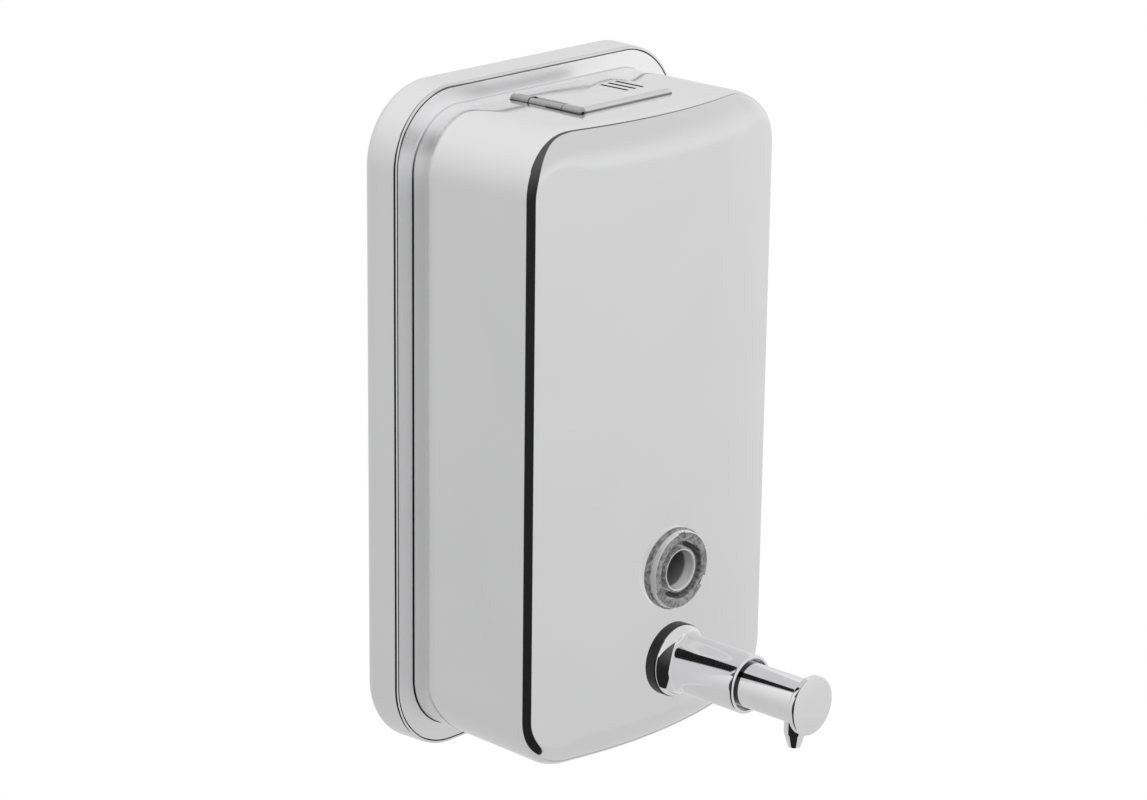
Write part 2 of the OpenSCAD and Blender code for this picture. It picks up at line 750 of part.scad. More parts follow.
module pump_cylinder() {
    color("white") difference() {
        turned([
            [0, bore_rear_d - cyl_floor_t], [cyl_r - 1, bore_rear_d - cyl_floor_t],
            [cyl_r, bore_rear_d - cyl_floor_t + 1], [cyl_r, cyl_end_d], [shank_r, cyl_end_d],
            [shank_r, shank_end_d], [bore_r, shank_end_d], [bore_r, bore_rear_d], [0, bore_rear_d]
        ], pump_z);
        translate([0, -inlet_d, pump_z - cyl_r - 1]) cylinder(h = cyl_r, r = inlet_r);
    }
}

// A plug in the cylinder's wall that holds the ball valve, and a tube down to the tank's floor.
module inlet_tube() {
    top_z = pump_z - bore_r - 0.4;
    cage_top = inlet_ball_z + inlet_ball_r + inlet_lift + ball_gap;
    color("white") translate([0, -inlet_d, inlet_low_z]) difference() {
        cylinder(h = top_z - inlet_low_z, r = inlet_r);
        translate([0, 0, -1]) cylinder(h = top_z - inlet_low_z + 2, r = port_r);
        translate([0, 0, -1]) cylinder(h = inlet_seat_z - 2 - inlet_low_z, r = inlet_bore_r);
        translate([0, 0, inlet_seat_z - inlet_low_z])
            cylinder(h = cage_top - inlet_seat_z, r = inlet_ball_r + 0.5);
    }
}

module inlet_ball() {
    color("silver") translate([0, -inlet_d, inlet_ball_z]) sphere(r = inlet_ball_r);
}

module plunger() {
    color("silver") difference() {
        turned([
            [plunger_bore_r, piston_front_d], [plunger_r, piston_front_d], [plunger_r, plunger_end_d],
            [0, plunger_end_d], [0, plunger_end_d - 1.5], [plunger_bore_r, plunger_end_d - 1.5]
        ], pump_z);
        translate([0, -nozzle_d, pump_z - plunger_r - 1]) cylinder(h = plunger_r, r = nozzle_r);
    }
}

module plunger_cap() {
    soft = 0.5;
    color("silver") turned([
        [0, plunger_end_d], [cap_r - soft, plunger_end_d], [cap_r, plunger_end_d + soft],
        for (i = [0:3]) let (a = 30 * i)
            [cap_r - soft * (1 - cos(a)), cap_end_d - soft * (1 - sin(a))],
        [0, cap_end_d]
    ], pump_z);
}

module nozzle() {
    root = sqrt(plunger_bore_r * plunger_bore_r - nozzle_r * nozzle_r);
    narrowing = nozzle_r - nozzle_tip_r;
    color("silver") translate([0, -nozzle_d, pump_z]) difference() {
        rotate([180, 0, 0]) rotate_extrude() polygon([
            [0, root], [nozzle_r, root],
            for (i = [0:5]) let (a = 15 * i)
                [nozzle_tip_r + narrowing * cos(a), nozzle_drop - nozzle_taper * (1 - sin(a))],
            [nozzle_tip_r - 0.2, nozzle_drop], [0, nozzle_drop]
        ]);
        translate([0, 0, -nozzle_drop - 1]) cylinder(h = nozzle_drop, r = nozzle_bore_r);
    }
}

// A crown with a groove for its ring, and a stem inside the plunger that holds the outlet valve.
module piston() {
    crown_r = bore_r - run_gap;
    groove_r = seal_centre_r - seal_r;
    stem_end_d = outlet_end_d + 2;
    color("ivory") turned([
        [port_r, piston_rear_d], [crown_r, piston_rear_d], [crown_r, groove_d - 1], [groove_r, groove_d - 1],
        [groove_r, groove_d + 1], [crown_r, groove_d + 1], [crown_r, piston_front_d],
        [plunger_bore_r, piston_front_d], [plunger_bore_r, stem_end_d], [port_r, stem_end_d],
        [port_r, outlet_end_d], [outlet_ball_r + 0.5, outlet_end_d],
        [outlet_ball_r + 0.5, outlet_seat_d], [port_r, outlet_seat_d]
    ], pump_z);
}

module piston_seal() {
    color([0.1, 0.1, 0.1]) translate([0, 0, pump_z]) out_from(groove_d)
        rotate_extrude() translate([seal_centre_r, 0]) circle(r = seal_r, $fn = 24);
}

module outlet_ball() {
    color("silver") translate([0, -outlet_ball_d, pump_z]) sphere(r = outlet_ball_r);
}

// A round-wire compression spring between two depths, as a tube swept along its coil.
module spring(radius, wire, turns, d0, d1, per_turn) {
    sides = 8;
    steps = turns * per_turn;
    rise = (d1 - d0 - 2 * wire) / (turns * 360);
    function centre(a) = [radius * cos(a), radius * sin(a), d0 + wire + rise * a];
    points = [
        for (i = [0:steps], s = [0:sides - 1])
            let (a = 360 * turns * i / steps, b = 360 * s / sides)
            centre(a) + wire * [cos(b) * cos(a), cos(b) * sin(a), sin(b)]
    ];
    walls = [
        for (i = [0:steps - 1], s = [0:sides - 1])
            let (k = (s + 1) % sides)
            [i * sides + s, i * sides + k, (i + 1) * sides + k, (i + 1) * sides + s]
    ];
    ends = [[for (s = [0:sides - 1]) sides - 1 - s], [for (s = [0:sides - 1]) steps * sides + s]];
    polyhedron(points = points, faces = concat(walls, ends), convexity = 10);
}

module outlet_spring() {
    color("gray") translate([0, 0, pump_z]) rotate([90, 0, 0])
        spring(outlet_ball_r - 0.4, 0.2, 5, outlet_ball_d + outlet_ball_r + ball_gap,
               outlet_end_d - ball_gap, 12);
}

module return_spring() {
    color("gray") translate([0, 0, pump_z]) rotate([90, 0, 0])
        spring(coil_r, wire_r, coil_turns, bore_rear_d + ball_gap, piston_rear_d - ball_gap, 16);
}

wall_bracket();
back_pan();
bracket_lock_screw();
tank_back();
front_shell();
lid_hinge_bracket();
lid_hinge_pin();
lid();
lock_housing();
lock_bolt();
sight_glass();
sight_glass_gasket();
sight_glass_nut();
pump_seat_ring();
pump_sleeve();
pump_gasket();
pump_lock_nut();
pump_cylinder();
inlet_tube();
inlet_ball();
plunger();
plunger_cap();
nozzle();
piston();
piston_seal();
outlet_ball();
outlet_spring();
return_spring();
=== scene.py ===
"""A wall mounted soap dispenser of polished stainless steel, with a push pump, a sight glass and
a locked filler lid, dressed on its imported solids. X runs to the right, Y into the wall, Z up."""

import math

import bmesh
import bpy
from mathutils import Matrix, Vector


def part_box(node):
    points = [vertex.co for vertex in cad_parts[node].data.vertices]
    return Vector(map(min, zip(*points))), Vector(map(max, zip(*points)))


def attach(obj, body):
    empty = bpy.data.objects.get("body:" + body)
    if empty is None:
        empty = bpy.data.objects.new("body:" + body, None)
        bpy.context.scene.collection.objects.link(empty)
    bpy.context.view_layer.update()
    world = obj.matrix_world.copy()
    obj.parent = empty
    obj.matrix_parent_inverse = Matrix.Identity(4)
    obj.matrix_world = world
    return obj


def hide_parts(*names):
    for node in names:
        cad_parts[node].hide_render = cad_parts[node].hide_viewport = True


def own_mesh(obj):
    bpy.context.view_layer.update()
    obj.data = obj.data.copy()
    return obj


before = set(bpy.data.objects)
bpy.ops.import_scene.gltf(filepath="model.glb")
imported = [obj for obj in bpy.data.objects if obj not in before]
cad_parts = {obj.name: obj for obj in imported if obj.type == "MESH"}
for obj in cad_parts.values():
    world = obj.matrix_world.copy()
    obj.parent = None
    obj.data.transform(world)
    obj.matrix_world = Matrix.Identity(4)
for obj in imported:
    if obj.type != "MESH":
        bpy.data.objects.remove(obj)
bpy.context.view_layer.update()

# ------------------------------------------------------------------ camera
# A long lens that stands to the left of the dispenser and a little above it, turned a touch on
# its own axis.
turn, rise, roll = math.radians(-47.231), math.radians(17.393), math.radians(0.719)
aim, distance = Vector((0.030724, 0, -0.011371)), 1.125489
back = Vector((math.sin(turn) * math.cos(rise), -math.cos(turn) * math.cos(rise), math.sin(rise)))
side = Vector((math.cos(turn), math.sin(turn), 0))
up = back.cross(side)
camera_x = side * math.cos(roll) + up * math.sin(roll)
camera_y = up * math.cos(roll) - side * math.sin(roll)
camera_data = bpy.data.cameras.new("camera")
camera_data.sensor_width = 36
camera_data.lens = 112.92
camera_data.clip_end = 20
camera = bpy.data.objects.new("camera", camera_data)
bpy.context.scene.collection.objects.link(camera)
camera.matrix_world = Matrix.Translation(aim + back * distance) @ Matrix(
    (camera_x, camera_y, back)
).transposed().to_4x4()
bpy.context.scene.camera = camera

# ------------------------------------------------------------------ studio
# A pale room that lights the dispenser evenly: a broad soft light over the camera's right
# shoulder and a pale wall on the right behind the dispenser. All between them is dark, and
# the tight bends show it as crisp dark lines.
bpy.context.scene.view_settings.view_transform = "Standard"
room = bpy.data.worlds.new("studio_room")
bpy.context.scene.world = room
room.use_nodes = True
nodes, links = room.node_tree.nodes, room.node_tree.links
nodes.clear()


def sums(how, a, b=0.0, c=0.0):
    """One step of arithmetic in the tree that is being made. Returns its output."""
    node = nodes.new("ShaderNodeMath")
    node.operation = how
    for socket, value in zip(node.inputs, (a, b, c)):
        if isinstance(value, (int, float)):
            socket.default_value = value
        else:
            links.new(value, socket)
    return node.outputs[0]


def fade(value, start, end, low, high):
    """Low up to start, high from end on, and a soft step between them."""
    node = nodes.new("ShaderNodeMapRange")
    node.interpolation_type = "SMOOTHSTEP"
    links.new(value, node.inputs["Value"])
    for name, number in (("From Min", start), ("From Max", end), ("To Min", low), ("To Max", high)):
        node.inputs[name].default_value = number
    return node.outputs["Result"]


looking = nodes.new("ShaderNodeSeparateXYZ")
links.new(nodes.new("ShaderNodeTexCoord").outputs["Generated"], looking.inputs[0])
x, y, z = looking.outputs
height = sums("DEGREES", sums("ARCSINE", z))


def bearing(middle):
    """Degrees round from a direction given in degrees from +X, within half a turn each way."""
    c, s = math.cos(math.radians(middle)), math.sin(math.radians(middle))
    ahead = sums("ADD", sums("MULTIPLY", x, c), sums("MULTIPLY", y, s))
    across = sums("SUBTRACT", sums("MULTIPLY", y, c), sums("MULTIPLY", x, s))
    return sums("DEGREES", sums("ARCTAN2", across, ahead))


def within(turned, raised, radius):
    """1 inside a round patch of the room and 0 outside, with a narrow soft edge."""
    c = math.cos(math.radians(raised))
    across = sums("MULTIPLY_ADD", y, c * math.sin(math.radians(turned)),
                  sums("MULTIPLY", x, c * math.cos(math.radians(turned))))
    toward = sums("MULTIPLY_ADD", z, math.sin(math.radians(raised)), across)
    off = sums("DEGREES", sums("ARCCOSINE", toward))
    return fade(off, radius - 1, radius + 1, 1, 0)


def upright(middle, half, top):
    """1 inside a standing strip of the room that ends at a height, and 0 outside."""
    return sums("MULTIPLY", fade(sums("ABSOLUTE", bearing(middle)), half - 1, half + 1, 1, 0),
                fade(height, top - 3, top + 3, 1, 0))


soft_light = sums("MAXIMUM", within(298.1, 36.3, 59.6), upright(324, 60, 57))
pale_wall = sums("MAXIMUM", within(82.2, 8.9, 57), upright(87.5, 60.5, 30))
light_level = sums("MINIMUM", fade(height, -30, -2, 0.82, 1.03), fade(height, 2, 44, 1.03, 0.894))
wall_level = fade(height, -30, 56, 0.74, 1.11)
dark_level = fade(height, -25, 75, 0.022, 0.145)
lit = sums("MAXIMUM", sums("MULTIPLY", soft_light, light_level),
           sums("MULTIPLY", pale_wall, wall_level))
first_seen = sums("MAXIMUM", lit, dark_level)

# Ray Depth is 2 after one reflection, 3 after two and 4 after three. The second reflection shows
# a pale room with one dark screen on the left, and the third a dark room. The camera and clear
# plastic see white paper.
ray = nodes.new("ShaderNodeLightPath")
seen = sums("MAXIMUM", ray.outputs["Is Camera Ray"], ray.outputs["Is Transmission Ray"])
twice_reflected = sums("GREATER_THAN", ray.outputs["Ray Depth"], 2.5)
often_reflected = sums("GREATER_THAN", ray.outputs["Ray Depth"], 3.5)
dark_screen = within(222, 36.5, 18.6)
pale_side = sums("MULTIPLY_ADD", dark_screen, -1.08, 1.1)
deep_level = sums("MAXIMUM", sums("MULTIPLY_ADD", often_reflected, -1.0, pale_side), 0.02)
level = sums("ADD", first_seen,
             sums("MULTIPLY", twice_reflected, sums("SUBTRACT", deep_level, first_seen)))
glow = nodes.new("ShaderNodeBackground")
links.new(level, glow.inputs["Strength"])
glow.inputs["Color"].default_value = (1, 1, 1, 1)
paper = nodes.new("ShaderNodeBackground")
paper.inputs["Color"].default_value = (1, 1, 1, 1)
either = nodes.new("ShaderNodeMixShader")
links.new(seen, either.inputs[0])
links.new(glow.outputs[0], either.inputs[1])
links.new(paper.outputs[0], either.inputs[2])
links.new(either.outputs[0], nodes.new("ShaderNodeOutputWorld").inputs[0])

# One broad soft lamp up on the left gives the rubber and the plastics their shape.
lamp_data = bpy.data.lights.new("soft_lamp", "AREA")
lamp_data.size = 0.9
lamp_data.energy = 5
lamp = bpy.data.objects.new("soft_lamp", lamp_data)
bpy.context.scene.collection.objects.link(lamp)
lamp.location = (-0.75, -0.9, 1.15)
lamp.rotation_euler = (-lamp.location).to_track_quat("-Z", "Y").to_euler()
lamp.visible_glossy = False

# ------------------------------------------------------------------ floor
# A pale matt floor well below the dispenser. It takes its shadow and looks as white as the
# room's paper.
bpy.ops.object.select_all(action="DESELECT")
bpy.ops.mesh.primitive_plane_add(size=1.1, location=(0, 0, -0.62))
floor = bpy.context.object
floor.name = "floor"
floor_paint = bpy.data.materials.new("floor_paint")
floor_paint.use_nodes = True
nodes, links = floor_paint.node_tree.nodes, floor_paint.node_tree.links
nodes.clear()
ray = nodes.new("ShaderNodeLightPath")
seen = sums("MAXIMUM", ray.outputs["Is Camera Ray"], ray.outputs["Is Glossy Ray"])
seen = sums("MAXIMUM", seen, ray.outputs["Is Transmission Ray"])
matt = nodes.new("ShaderNodeBsdfDiffuse")
matt.inputs["Color"].default_value = (0.8, 0.8, 0.8, 1)
white = nodes.new("ShaderNodeEmission")
either = nodes.new("ShaderNodeMixShader")
links.new(seen, either.inputs[0])
links.new(matt.outputs[0], either.inputs[1])
links.new(white.outputs[0], either.inputs[2])
links.new(either.outputs[0], nodes.new("ShaderNodeOutputMaterial").inputs[0])
floor.data.materials.append(floor_paint)
floor.visible_glossy = False

# ------------------------------------------------------------------ back pan
# A shallow pan of stainless sheet that closes the dispenser at the wall. It is pressed with a
# rounded edge at the wall, a soft rim in front, and a pocket behind that takes the wall bracket.
mm = 0.001
pan_low, pan_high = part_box("back_pan")
pan_half_w, pan_half_h, pan_depth = pan_high.x, pan_high.z, -pan_low.y
pan_corner, pan_edge, pan_lip = 23.5 * mm, 4 * mm, 0.56 * mm
pan_sheet, pan_draft = 0.8 * mm, 0.4 * mm
corner_steps, edge_steps = 24, 40


def rounded_path(half_w, half_h, r):
    """Points (x, z, direction) once round a rounded rectangle, from the middle of its right side."""
    quarter = [i / corner_steps for i in range(corner_steps + 1)]
    across = [1 - 2 * i / edge_steps for i in range(1, edge_steps)]
    places = [(half_w, 0, 0)]
    for n, (sx, sz) in enumerate(((1, 1), (-1, 1), (-1, -1), (1, -1))):
        for q in quarter:
            a = math.radians(90 * (n + q))
            places.append(
                (sx * (half_w - r) + r * math.cos(a), sz * (half_h - r) + r * math.sin(a), a)
            )
        if n == 0:
            places += [(w * (half_w - r), half_h, math.pi / 2) for w in across]
        if n == 1:
            places.append((-half_w, 0, math.pi))
        if n == 2:
            places += [(-w * (half_w - r), -half_h, math.pi * 1.5) for w in across]
    return places + [(half_w, 0, 2 * math.pi)]


def ring(path, inset, depth):
    """The path moved inwards, at one depth from the wall."""
    return [(px - inset * math.cos(a), -depth, pz - inset * math.sin(a)) for px, pz, a in path]


def only(piece):
    """Selects one piece and nothing else."""
    bpy.ops.object.select_all(action="DESELECT")
    piece.select_set(True)
    bpy.context.view_layer.objects.active = piece


def drawn_sheet(name, inner, outer):
    """A sheet drawn in a press: a flat grid whose rows are laid on rings, down its inner side
    from the middle to the edge and back along its outer side to the middle."""
    rings = inner[::-1] + outer
    bpy.ops.object.select_all(action="DESELECT")
    bpy.ops.mesh.primitive_grid_add(
        x_subdivisions=len(rings[0]) - 1, y_subdivisions=len(rings) - 1, size=1
    )
    piece = bpy.context.object
    piece.name = piece.data.name = name
    for vertex, place in zip(piece.data.vertices, (p for one in rings for p in one)):
        vertex.co = place
    tidy(piece)
    return piece


def tidy(piece):
    """Merges what lies together and points the faces outwards."""
    only(piece)
    bpy.ops.object.mode_set(mode="EDIT")
    bpy.ops.mesh.select_all(action="SELECT")
    bpy.ops.mesh.remove_doubles(threshold=2e-6)
    bpy.ops.mesh.normals_make_consistent(inside=False)
    bpy.ops.object.mode_set(mode="OBJECT")


def block(x0, x1, d0, d1, z0, z1):
    """A box from its sides, its depths from the wall and its heights."""
    bpy.ops.object.select_all(action="DESELECT")
    bpy.ops.mesh.primitive_cube_add(
        size=1,
        location=((x0 + x1) / 2, -(d0 + d1) / 2, (z0 + z1) / 2),
        scale=(x1 - x0, d1 - d0, z1 - z0),
    )
    bpy.ops.object.transform_apply(location=True, rotation=True, scale=True)
    return bpy.context.object


def upright_bar(r, length, y, z, vertices):
    """A standing bar round its middle, which lies in the dispenser's middle plane."""
    bpy.ops.object.select_all(action="DESELECT")
    bpy.ops.mesh.primitive_cylinder_add(
        vertices=vertices, radius=r, depth=length, location=(0, y, z)
    )
    return bpy.context.object


def work(piece, tool, how="DIFFERENCE"):
    """Cuts the tool out of the piece, or joins it on, and takes the tool away."""
    only(piece)
    bpy.ops.object.modifier_add(type="BOOLEAN")
    change = piece.modifiers[-1]
    change.operation, change.object, change.solver = how, tool, "EXACT"
    bpy.ops.object.modifier_apply(modifier=change.name)
    bpy.data.objects.remove(tool)


def soften_along(piece, r, axis, segments=6):
    """Rounds the edges of a box that run along one axis."""
    only(piece)
    bpy.ops.object.mode_set(mode="EDIT")
    mesh = bmesh.from_edit_mesh(piece.data)
    for edge in mesh.edges:
        way = (edge.verts[0].co - edge.verts[1].co).normalized()
        edge.select_set(abs(way[axis]) > 0.99)
    mesh.select_flush_mode()
    bmesh.update_edit_mesh(piece.data)
    bpy.ops.mesh.bevel(offset=r, segments=segments, affect="EDGES")
    bpy.ops.object.mode_set(mode="OBJECT")


def dress(piece, material, body, stands_for, mirrored=True):
    """Shades a finished piece, gives it its finish and puts it on its body. What is not mirrored
    leaves no image in the polished front behind it."""
    only(piece)
    bpy.ops.object.shade_smooth_by_angle(angle=math.radians(35))
    piece.data.materials.clear()
    piece.data.materials.append(material)
    piece.visible_glossy = mirrored
    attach(piece, body)
    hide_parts(stands_for)


pan_path = rounded_path(pan_half_w, pan_half_h, pan_corner)
wall_start = pan_depth - pan_edge
lip_steps, bend_steps = 6, 12


def pan_rings(t):
    """From the rim to the middle of the back, on the outer side (t = 0) or the inner side."""
    rings = []
    for i in range(lip_steps + 1):
        a = math.radians(90 * i / lip_steps)
        drop = pan_lip * (1 - math.cos(a))
        inset = max(t, pan_lip * (1 - math.sin(a))) + pan_draft * (1 - drop / wall_start)
        rings.append(ring(pan_path, inset, pan_depth - drop))
    for drop in (pan_lip + 0.4 * mm, wall_start - 0.4 * mm):
        rings.append(ring(pan_path, t + pan_draft * (1 - drop / wall_start), pan_depth - drop))
    r = pan_edge - t
    for i in range(bend_steps + 1):
        a = math.radians(90 * i / bend_steps)
        rings.append(ring(pan_path, t + r * (1 - math.cos(a)), t + r * (1 - math.sin(a))))
    rings.append(ring(pan_path, pan_edge + 0.5 * mm, t))
    rings.append([(px, py, 0) for px, py, _ in rings[-1]])
    return rings


back_pan = drawn_sheet("back_pan_sheet", pan_rings(pan_sheet), pan_rings(0))
bracket_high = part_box("wall_bracket")[1]
pocket_half, pocket_deep = bracket_high.x + 2 * mm, 5 * mm
tab_height = -pan_half_h + 18.5 * mm
pocket_low, pocket_high = tab_height - 9 * mm, bracket_high.z + 8 * mm
raised = block(-pocket_half - pan_sheet, pocket_half + pan_sheet, pan_sheet / 2,
               pocket_deep + pan_sheet, pocket_low - pan_sheet, pocket_high + pan_sheet)
soften_along(raised, 4 * mm, 1)
work(back_pan, raised, "UNION")
hollow = block(-pocket_half, pocket_half, -mm, pocket_deep, pocket_low, pocket_high)
soften_along(hollow, 3.2 * mm, 1)
work(back_pan, hollow)
hook_x, hook_heights = 17 * mm, (22 * mm, -44 * mm)
slot_half, slot_above, tab_half, tab_above = 5.3 * mm, 1.4 * mm, 8.3 * mm, 1.8 * mm
for hx in (-hook_x, hook_x):
    for hz in hook_heights:
        work(back_pan, block(hx - slot_half, hx + slot_half, pocket_deep - mm,
                             pocket_deep + 2 * mm, hz - slot_half, hz + slot_above))
work(back_pan, block(-tab_half, tab_half, pocket_deep - mm, pocket_deep + 2 * mm,
                     tab_height - slot_half, tab_height + tab_above))
screw_low, screw_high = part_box("bracket_lock_screw")
screw_y = (screw_low.y + screw_high.y) / 2
screw_hole_r = 2.3 * mm
work(back_pan, upright_bar(screw_hole_r, 12 * mm, screw_y, -pan_half_h, 64))

# Polished stainless sheet. Wiping leaves faint marks in its gloss, and rolling a very fine grain.
wiping = bpy.data.node_groups.new("wiping_marks", "ShaderNodeTree")
wiping.interface.new_socket("Size", in_out="INPUT", socket_type="NodeSocketFloat")
wiping.interface.new_socket("Gloss", in_out="INPUT", socket_type="NodeSocketFloat")
wiping.interface.new_socket("Marks", in_out="INPUT", socket_type="NodeSocketFloat")
wiping.interface.new_socket("Roughness", in_out="OUTPUT", socket_type="NodeSocketFloat")
wiping.interface.new_socket("Shade", in_out="OUTPUT", socket_type="NodeSocketFloat")
nodes, links = wiping.nodes, wiping.links
given, told = nodes.new("NodeGroupInput"), nodes.new("NodeGroupOutput")
place = nodes.new("ShaderNodeTexCoord").outputs["Object"]
smear = nodes.new("ShaderNodeTexNoise")
smear.inputs["Detail"].default_value = 4
smear.inputs["Distortion"].default_value = 0.6
links.new(place, smear.inputs["Vector"])
links.new(given.outputs["Size"], smear.inputs["Scale"])
links.new(
    sums("ADD", given.outputs["Gloss"],
         sums("MULTIPLY", given.outputs["Marks"], fade(smear.outputs["Fac"], 0.35, 0.7, 0, 1))),
    told.inputs["Roughness"],
)
links.new(fade(smear.outputs["Fac"], 0.3, 0.75, 1.0, 0.975), told.inputs["Shade"])

grain = bpy.data.node_groups.new("rolled_grain", "ShaderNodeTree")
grain.interface.new_socket("Fineness", in_out="INPUT", socket_type="NodeSocketFloat")
grain.interface.new_socket("Height", in_out="OUTPUT", socket_type="NodeSocketFloat")
nodes, links = grain.nodes, grain.links
given, told = nodes.new("NodeGroupInput"), nodes.new("NodeGroupOutput")
place = nodes.new("ShaderNodeTexCoord").outputs["Object"]
stretch = nodes.new("ShaderNodeMapping")
stretch.inputs["Scale"].default_value = (1, 1, 0.02)
links.new(place, stretch.inputs["Vector"])
lines = nodes.new("ShaderNodeTexNoise")
lines.inputs["Detail"].default_value = 2
links.new(stretch.outputs[0], lines.inputs["Vector"])
links.new(given.outputs["Fineness"], lines.inputs["Scale"])
links.new(lines.outputs["Fac"], told.inputs["Height"])


def wiped(size, gloss, marks):
    """The wiping marks, set in the tree that is being made with their own values."""
    marked = nodes.new("ShaderNodeGroup")
    marked.node_tree = wiping
    for socket, value in (("Size", size), ("Gloss", gloss), ("Marks", marks)):
        marked.inputs[socket].default_value = value
    return marked.outputs


def metal(name, colour, gloss, marks, size, fineness, bite, painted_light_and_shade=None, brushed=None):
    """A metal with wiping marks in its gloss and a fine grain in its surface. Two functions of the
    place may paint light and shade into its colour and take away its polish."""
    global nodes, links
    made = bpy.data.materials.new(name)
    made.use_nodes = True
    nodes, links = made.node_tree.nodes, made.node_tree.links
    shader = nodes["Principled BSDF"]
    shader.inputs["Metallic"].default_value = 1
    marked = wiped(size, gloss, marks)
    rough, shade = marked["Roughness"], marked["Shade"]
    where = nodes.new("ShaderNodeSeparateXYZ")
    links.new(nodes.new("ShaderNodeTexCoord").outputs["Object"], where.inputs[0])
    if brushed:
        rough = sums("ADD", rough, brushed(*where.outputs))
    if painted_light_and_shade:
        shade = sums("MULTIPLY", shade, painted_light_and_shade(*where.outputs))
    links.new(rough, shader.inputs["Roughness"])
    tint = nodes.new("ShaderNodeMix")
    tint.data_type = "RGBA"
    tint.blend_type = "MULTIPLY"
    tint.inputs["Factor"].default_value = 1
    tint.inputs[6].default_value = (*colour, 1)
    links.new(shade, tint.inputs[7])
    links.new(tint.outputs[2], shader.inputs["Base Color"])
    rolled = nodes.new("ShaderNodeGroup")
    rolled.node_tree = grain
    rolled.inputs["Fineness"].default_value = fineness
    bump = nodes.new("ShaderNodeBump")
    bump.inputs["Strength"].default_value = bite
    bump.inputs["Distance"].default_value = 0.02 * mm
    links.new(rolled.outputs["Height"], bump.inputs["Height"])
    links.new(bump.outputs[0], shader.inputs["Normal"])
    return made


sheet_finish = {"colour": (0.69, 0.69, 0.695), "gloss": 0.08, "marks": 0.015, "size": 22,
                "fineness": 2500, "bite": 0.02}
polished_steel = metal("polished_steel", **sheet_finish)
dress(back_pan, polished_steel, "housing", "back_pan")

# ------------------------------------------------------------------ wall bracket and its screw
# Zinc plated sheet steel with four screw holes, bent hooks and a lock tab; a stainless screw from
# below ties the pan to the tab. Both keep their solids and take a worked finish.
zinc = metal("zinc_plate", (0.56, 0.57, 0.59), 0.28, 0.2, 60, 900, 0.25)
bright_steel = metal("bright_steel", (0.72, 0.72, 0.725), 0.12, 0.08, 90, 1800, 0.1)


def finish_solid(name, material):
    """Gives a solid that keeps its shape its worked finish."""
    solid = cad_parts[name]
    solid.data.materials.clear()
    solid.data.materials.append(material)


finish_solid("wall_bracket", zinc)
finish_solid("bracket_lock_screw", bright_steel)

# ------------------------------------------------------------------ tank shell
# One deep-drawn stainless sheet: a flange at the pan's rim, a tight root bend, walls with a
# little draft, and a bowed front whose bend is tight at the sides and wide at top and bottom.
shell_low, shell_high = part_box("front_shell")
front_depth_max = -shell_low.y
shell_sheet, tank_corner, bow = 1 * mm, 18.4 * mm, 9.8 * mm
flange_side, flange_top = 7.5 * mm, 6.6 * mm
tank_half_w, tank_half_h = pan_half_w - flange_side, pan_half_h - flange_top
side_draft, fall = 0.4 * mm, 1.2 * mm
front_half_w = tank_half_w - side_draft
side_bend, end_bend, root_bend = 2.8 * mm, 11 * mm, 0.6 * mm
root_steps, front_steps = 6, 24
bow_radius = (front_half_w**2 + bow**2) / (2 * bow)


def front_depth(px):
    """Depth of the bowed front at one place across it."""
    return front_depth_max - bow_radius + math.sqrt(bow_radius**2 - px**2)


def front_slope(px):
    """How fast the bowed front falls back there."""
    return px / math.sqrt(bow_radius**2 - px**2)


def shell_rings(t):
    """From the flange's edge to the middle of the front, on the outer (t = 0) or inner side."""
    flange = rounded_path(shell_high.x, shell_high.z, pan_corner - (pan_half_w - shell_high.x))
    root = rounded_path(tank_half_w - t, tank_half_h - t, tank_corner - t)
    front = rounded_path(front_half_w - t, tank_half_h + fall / 2 - t, tank_corner - t)
    r = root_bend + t
    rings = [ring(flange, 0, pan_depth - t), ring(root, -r - 0.4 * mm, pan_depth - t)]
    for i in range(root_steps + 1):
        a = math.radians(90 * i / root_steps)
        rings.append(ring(root, -r * (1 - math.sin(a)), pan_depth - t + r * (1 - math.cos(a))))
    root_end = rings[-1]
    bend = []
    for i in range(front_steps + 1):
        row = []
        for px, pz, a in front:
            br = side_bend + (end_bend - side_bend) * math.sin(a) ** 2 - t
            s = front_slope(px) * math.cos(a)
            w = i / front_steps * (math.pi / 2 - math.atan(s))
            fx = px - br * (1 - math.cos(w)) * math.cos(a)
            fz = pz - br * (1 - math.cos(w)) * math.sin(a) - fall / 2
            drop = br * (s * math.cos(w) + math.sin(w) - math.sqrt(1 + s * s))
            depth = front_depth(fx) - t * math.sqrt(1 + front_slope(fx) ** 2) + drop
            row.append((fx, -depth, fz))
        bend.append(row)
    for share in (0.012, 0.988):
        rings.append(
            [tuple(Vector(a).lerp(Vector(b), share)) for a, b in zip(root_end, bend[0])]
        )
    rings += bend
    flat = []
    for (fx, _, fz), (_, _, a) in zip(bend[-1], front):
        fx, fz = fx - 0.5 * mm * math.cos(a), fz - 0.5 * mm * math.sin(a)
        flat.append((fx, t * math.sqrt(1 + front_slope(fx) ** 2) - front_depth(fx), fz))
    rings += [flat, [(fx, fy, -fall / 2) for fx, fy, _ in flat]]
    return rings


def round_bar(r, d0, d1, px, pz, vertices=64):
    """A bar square to the wall between two depths."""
    bpy.ops.object.select_all(action="DESELECT")
    bpy.ops.mesh.primitive_cylinder_add(
        vertices=vertices, radius=r, depth=d1 - d0, rotation=(math.pi / 2, 0, 0),
        location=(px, -(d0 + d1) / 2, pz),
    )
    bpy.ops.object.transform_apply(location=True, rotation=True, scale=True)
    return bpy.context.object


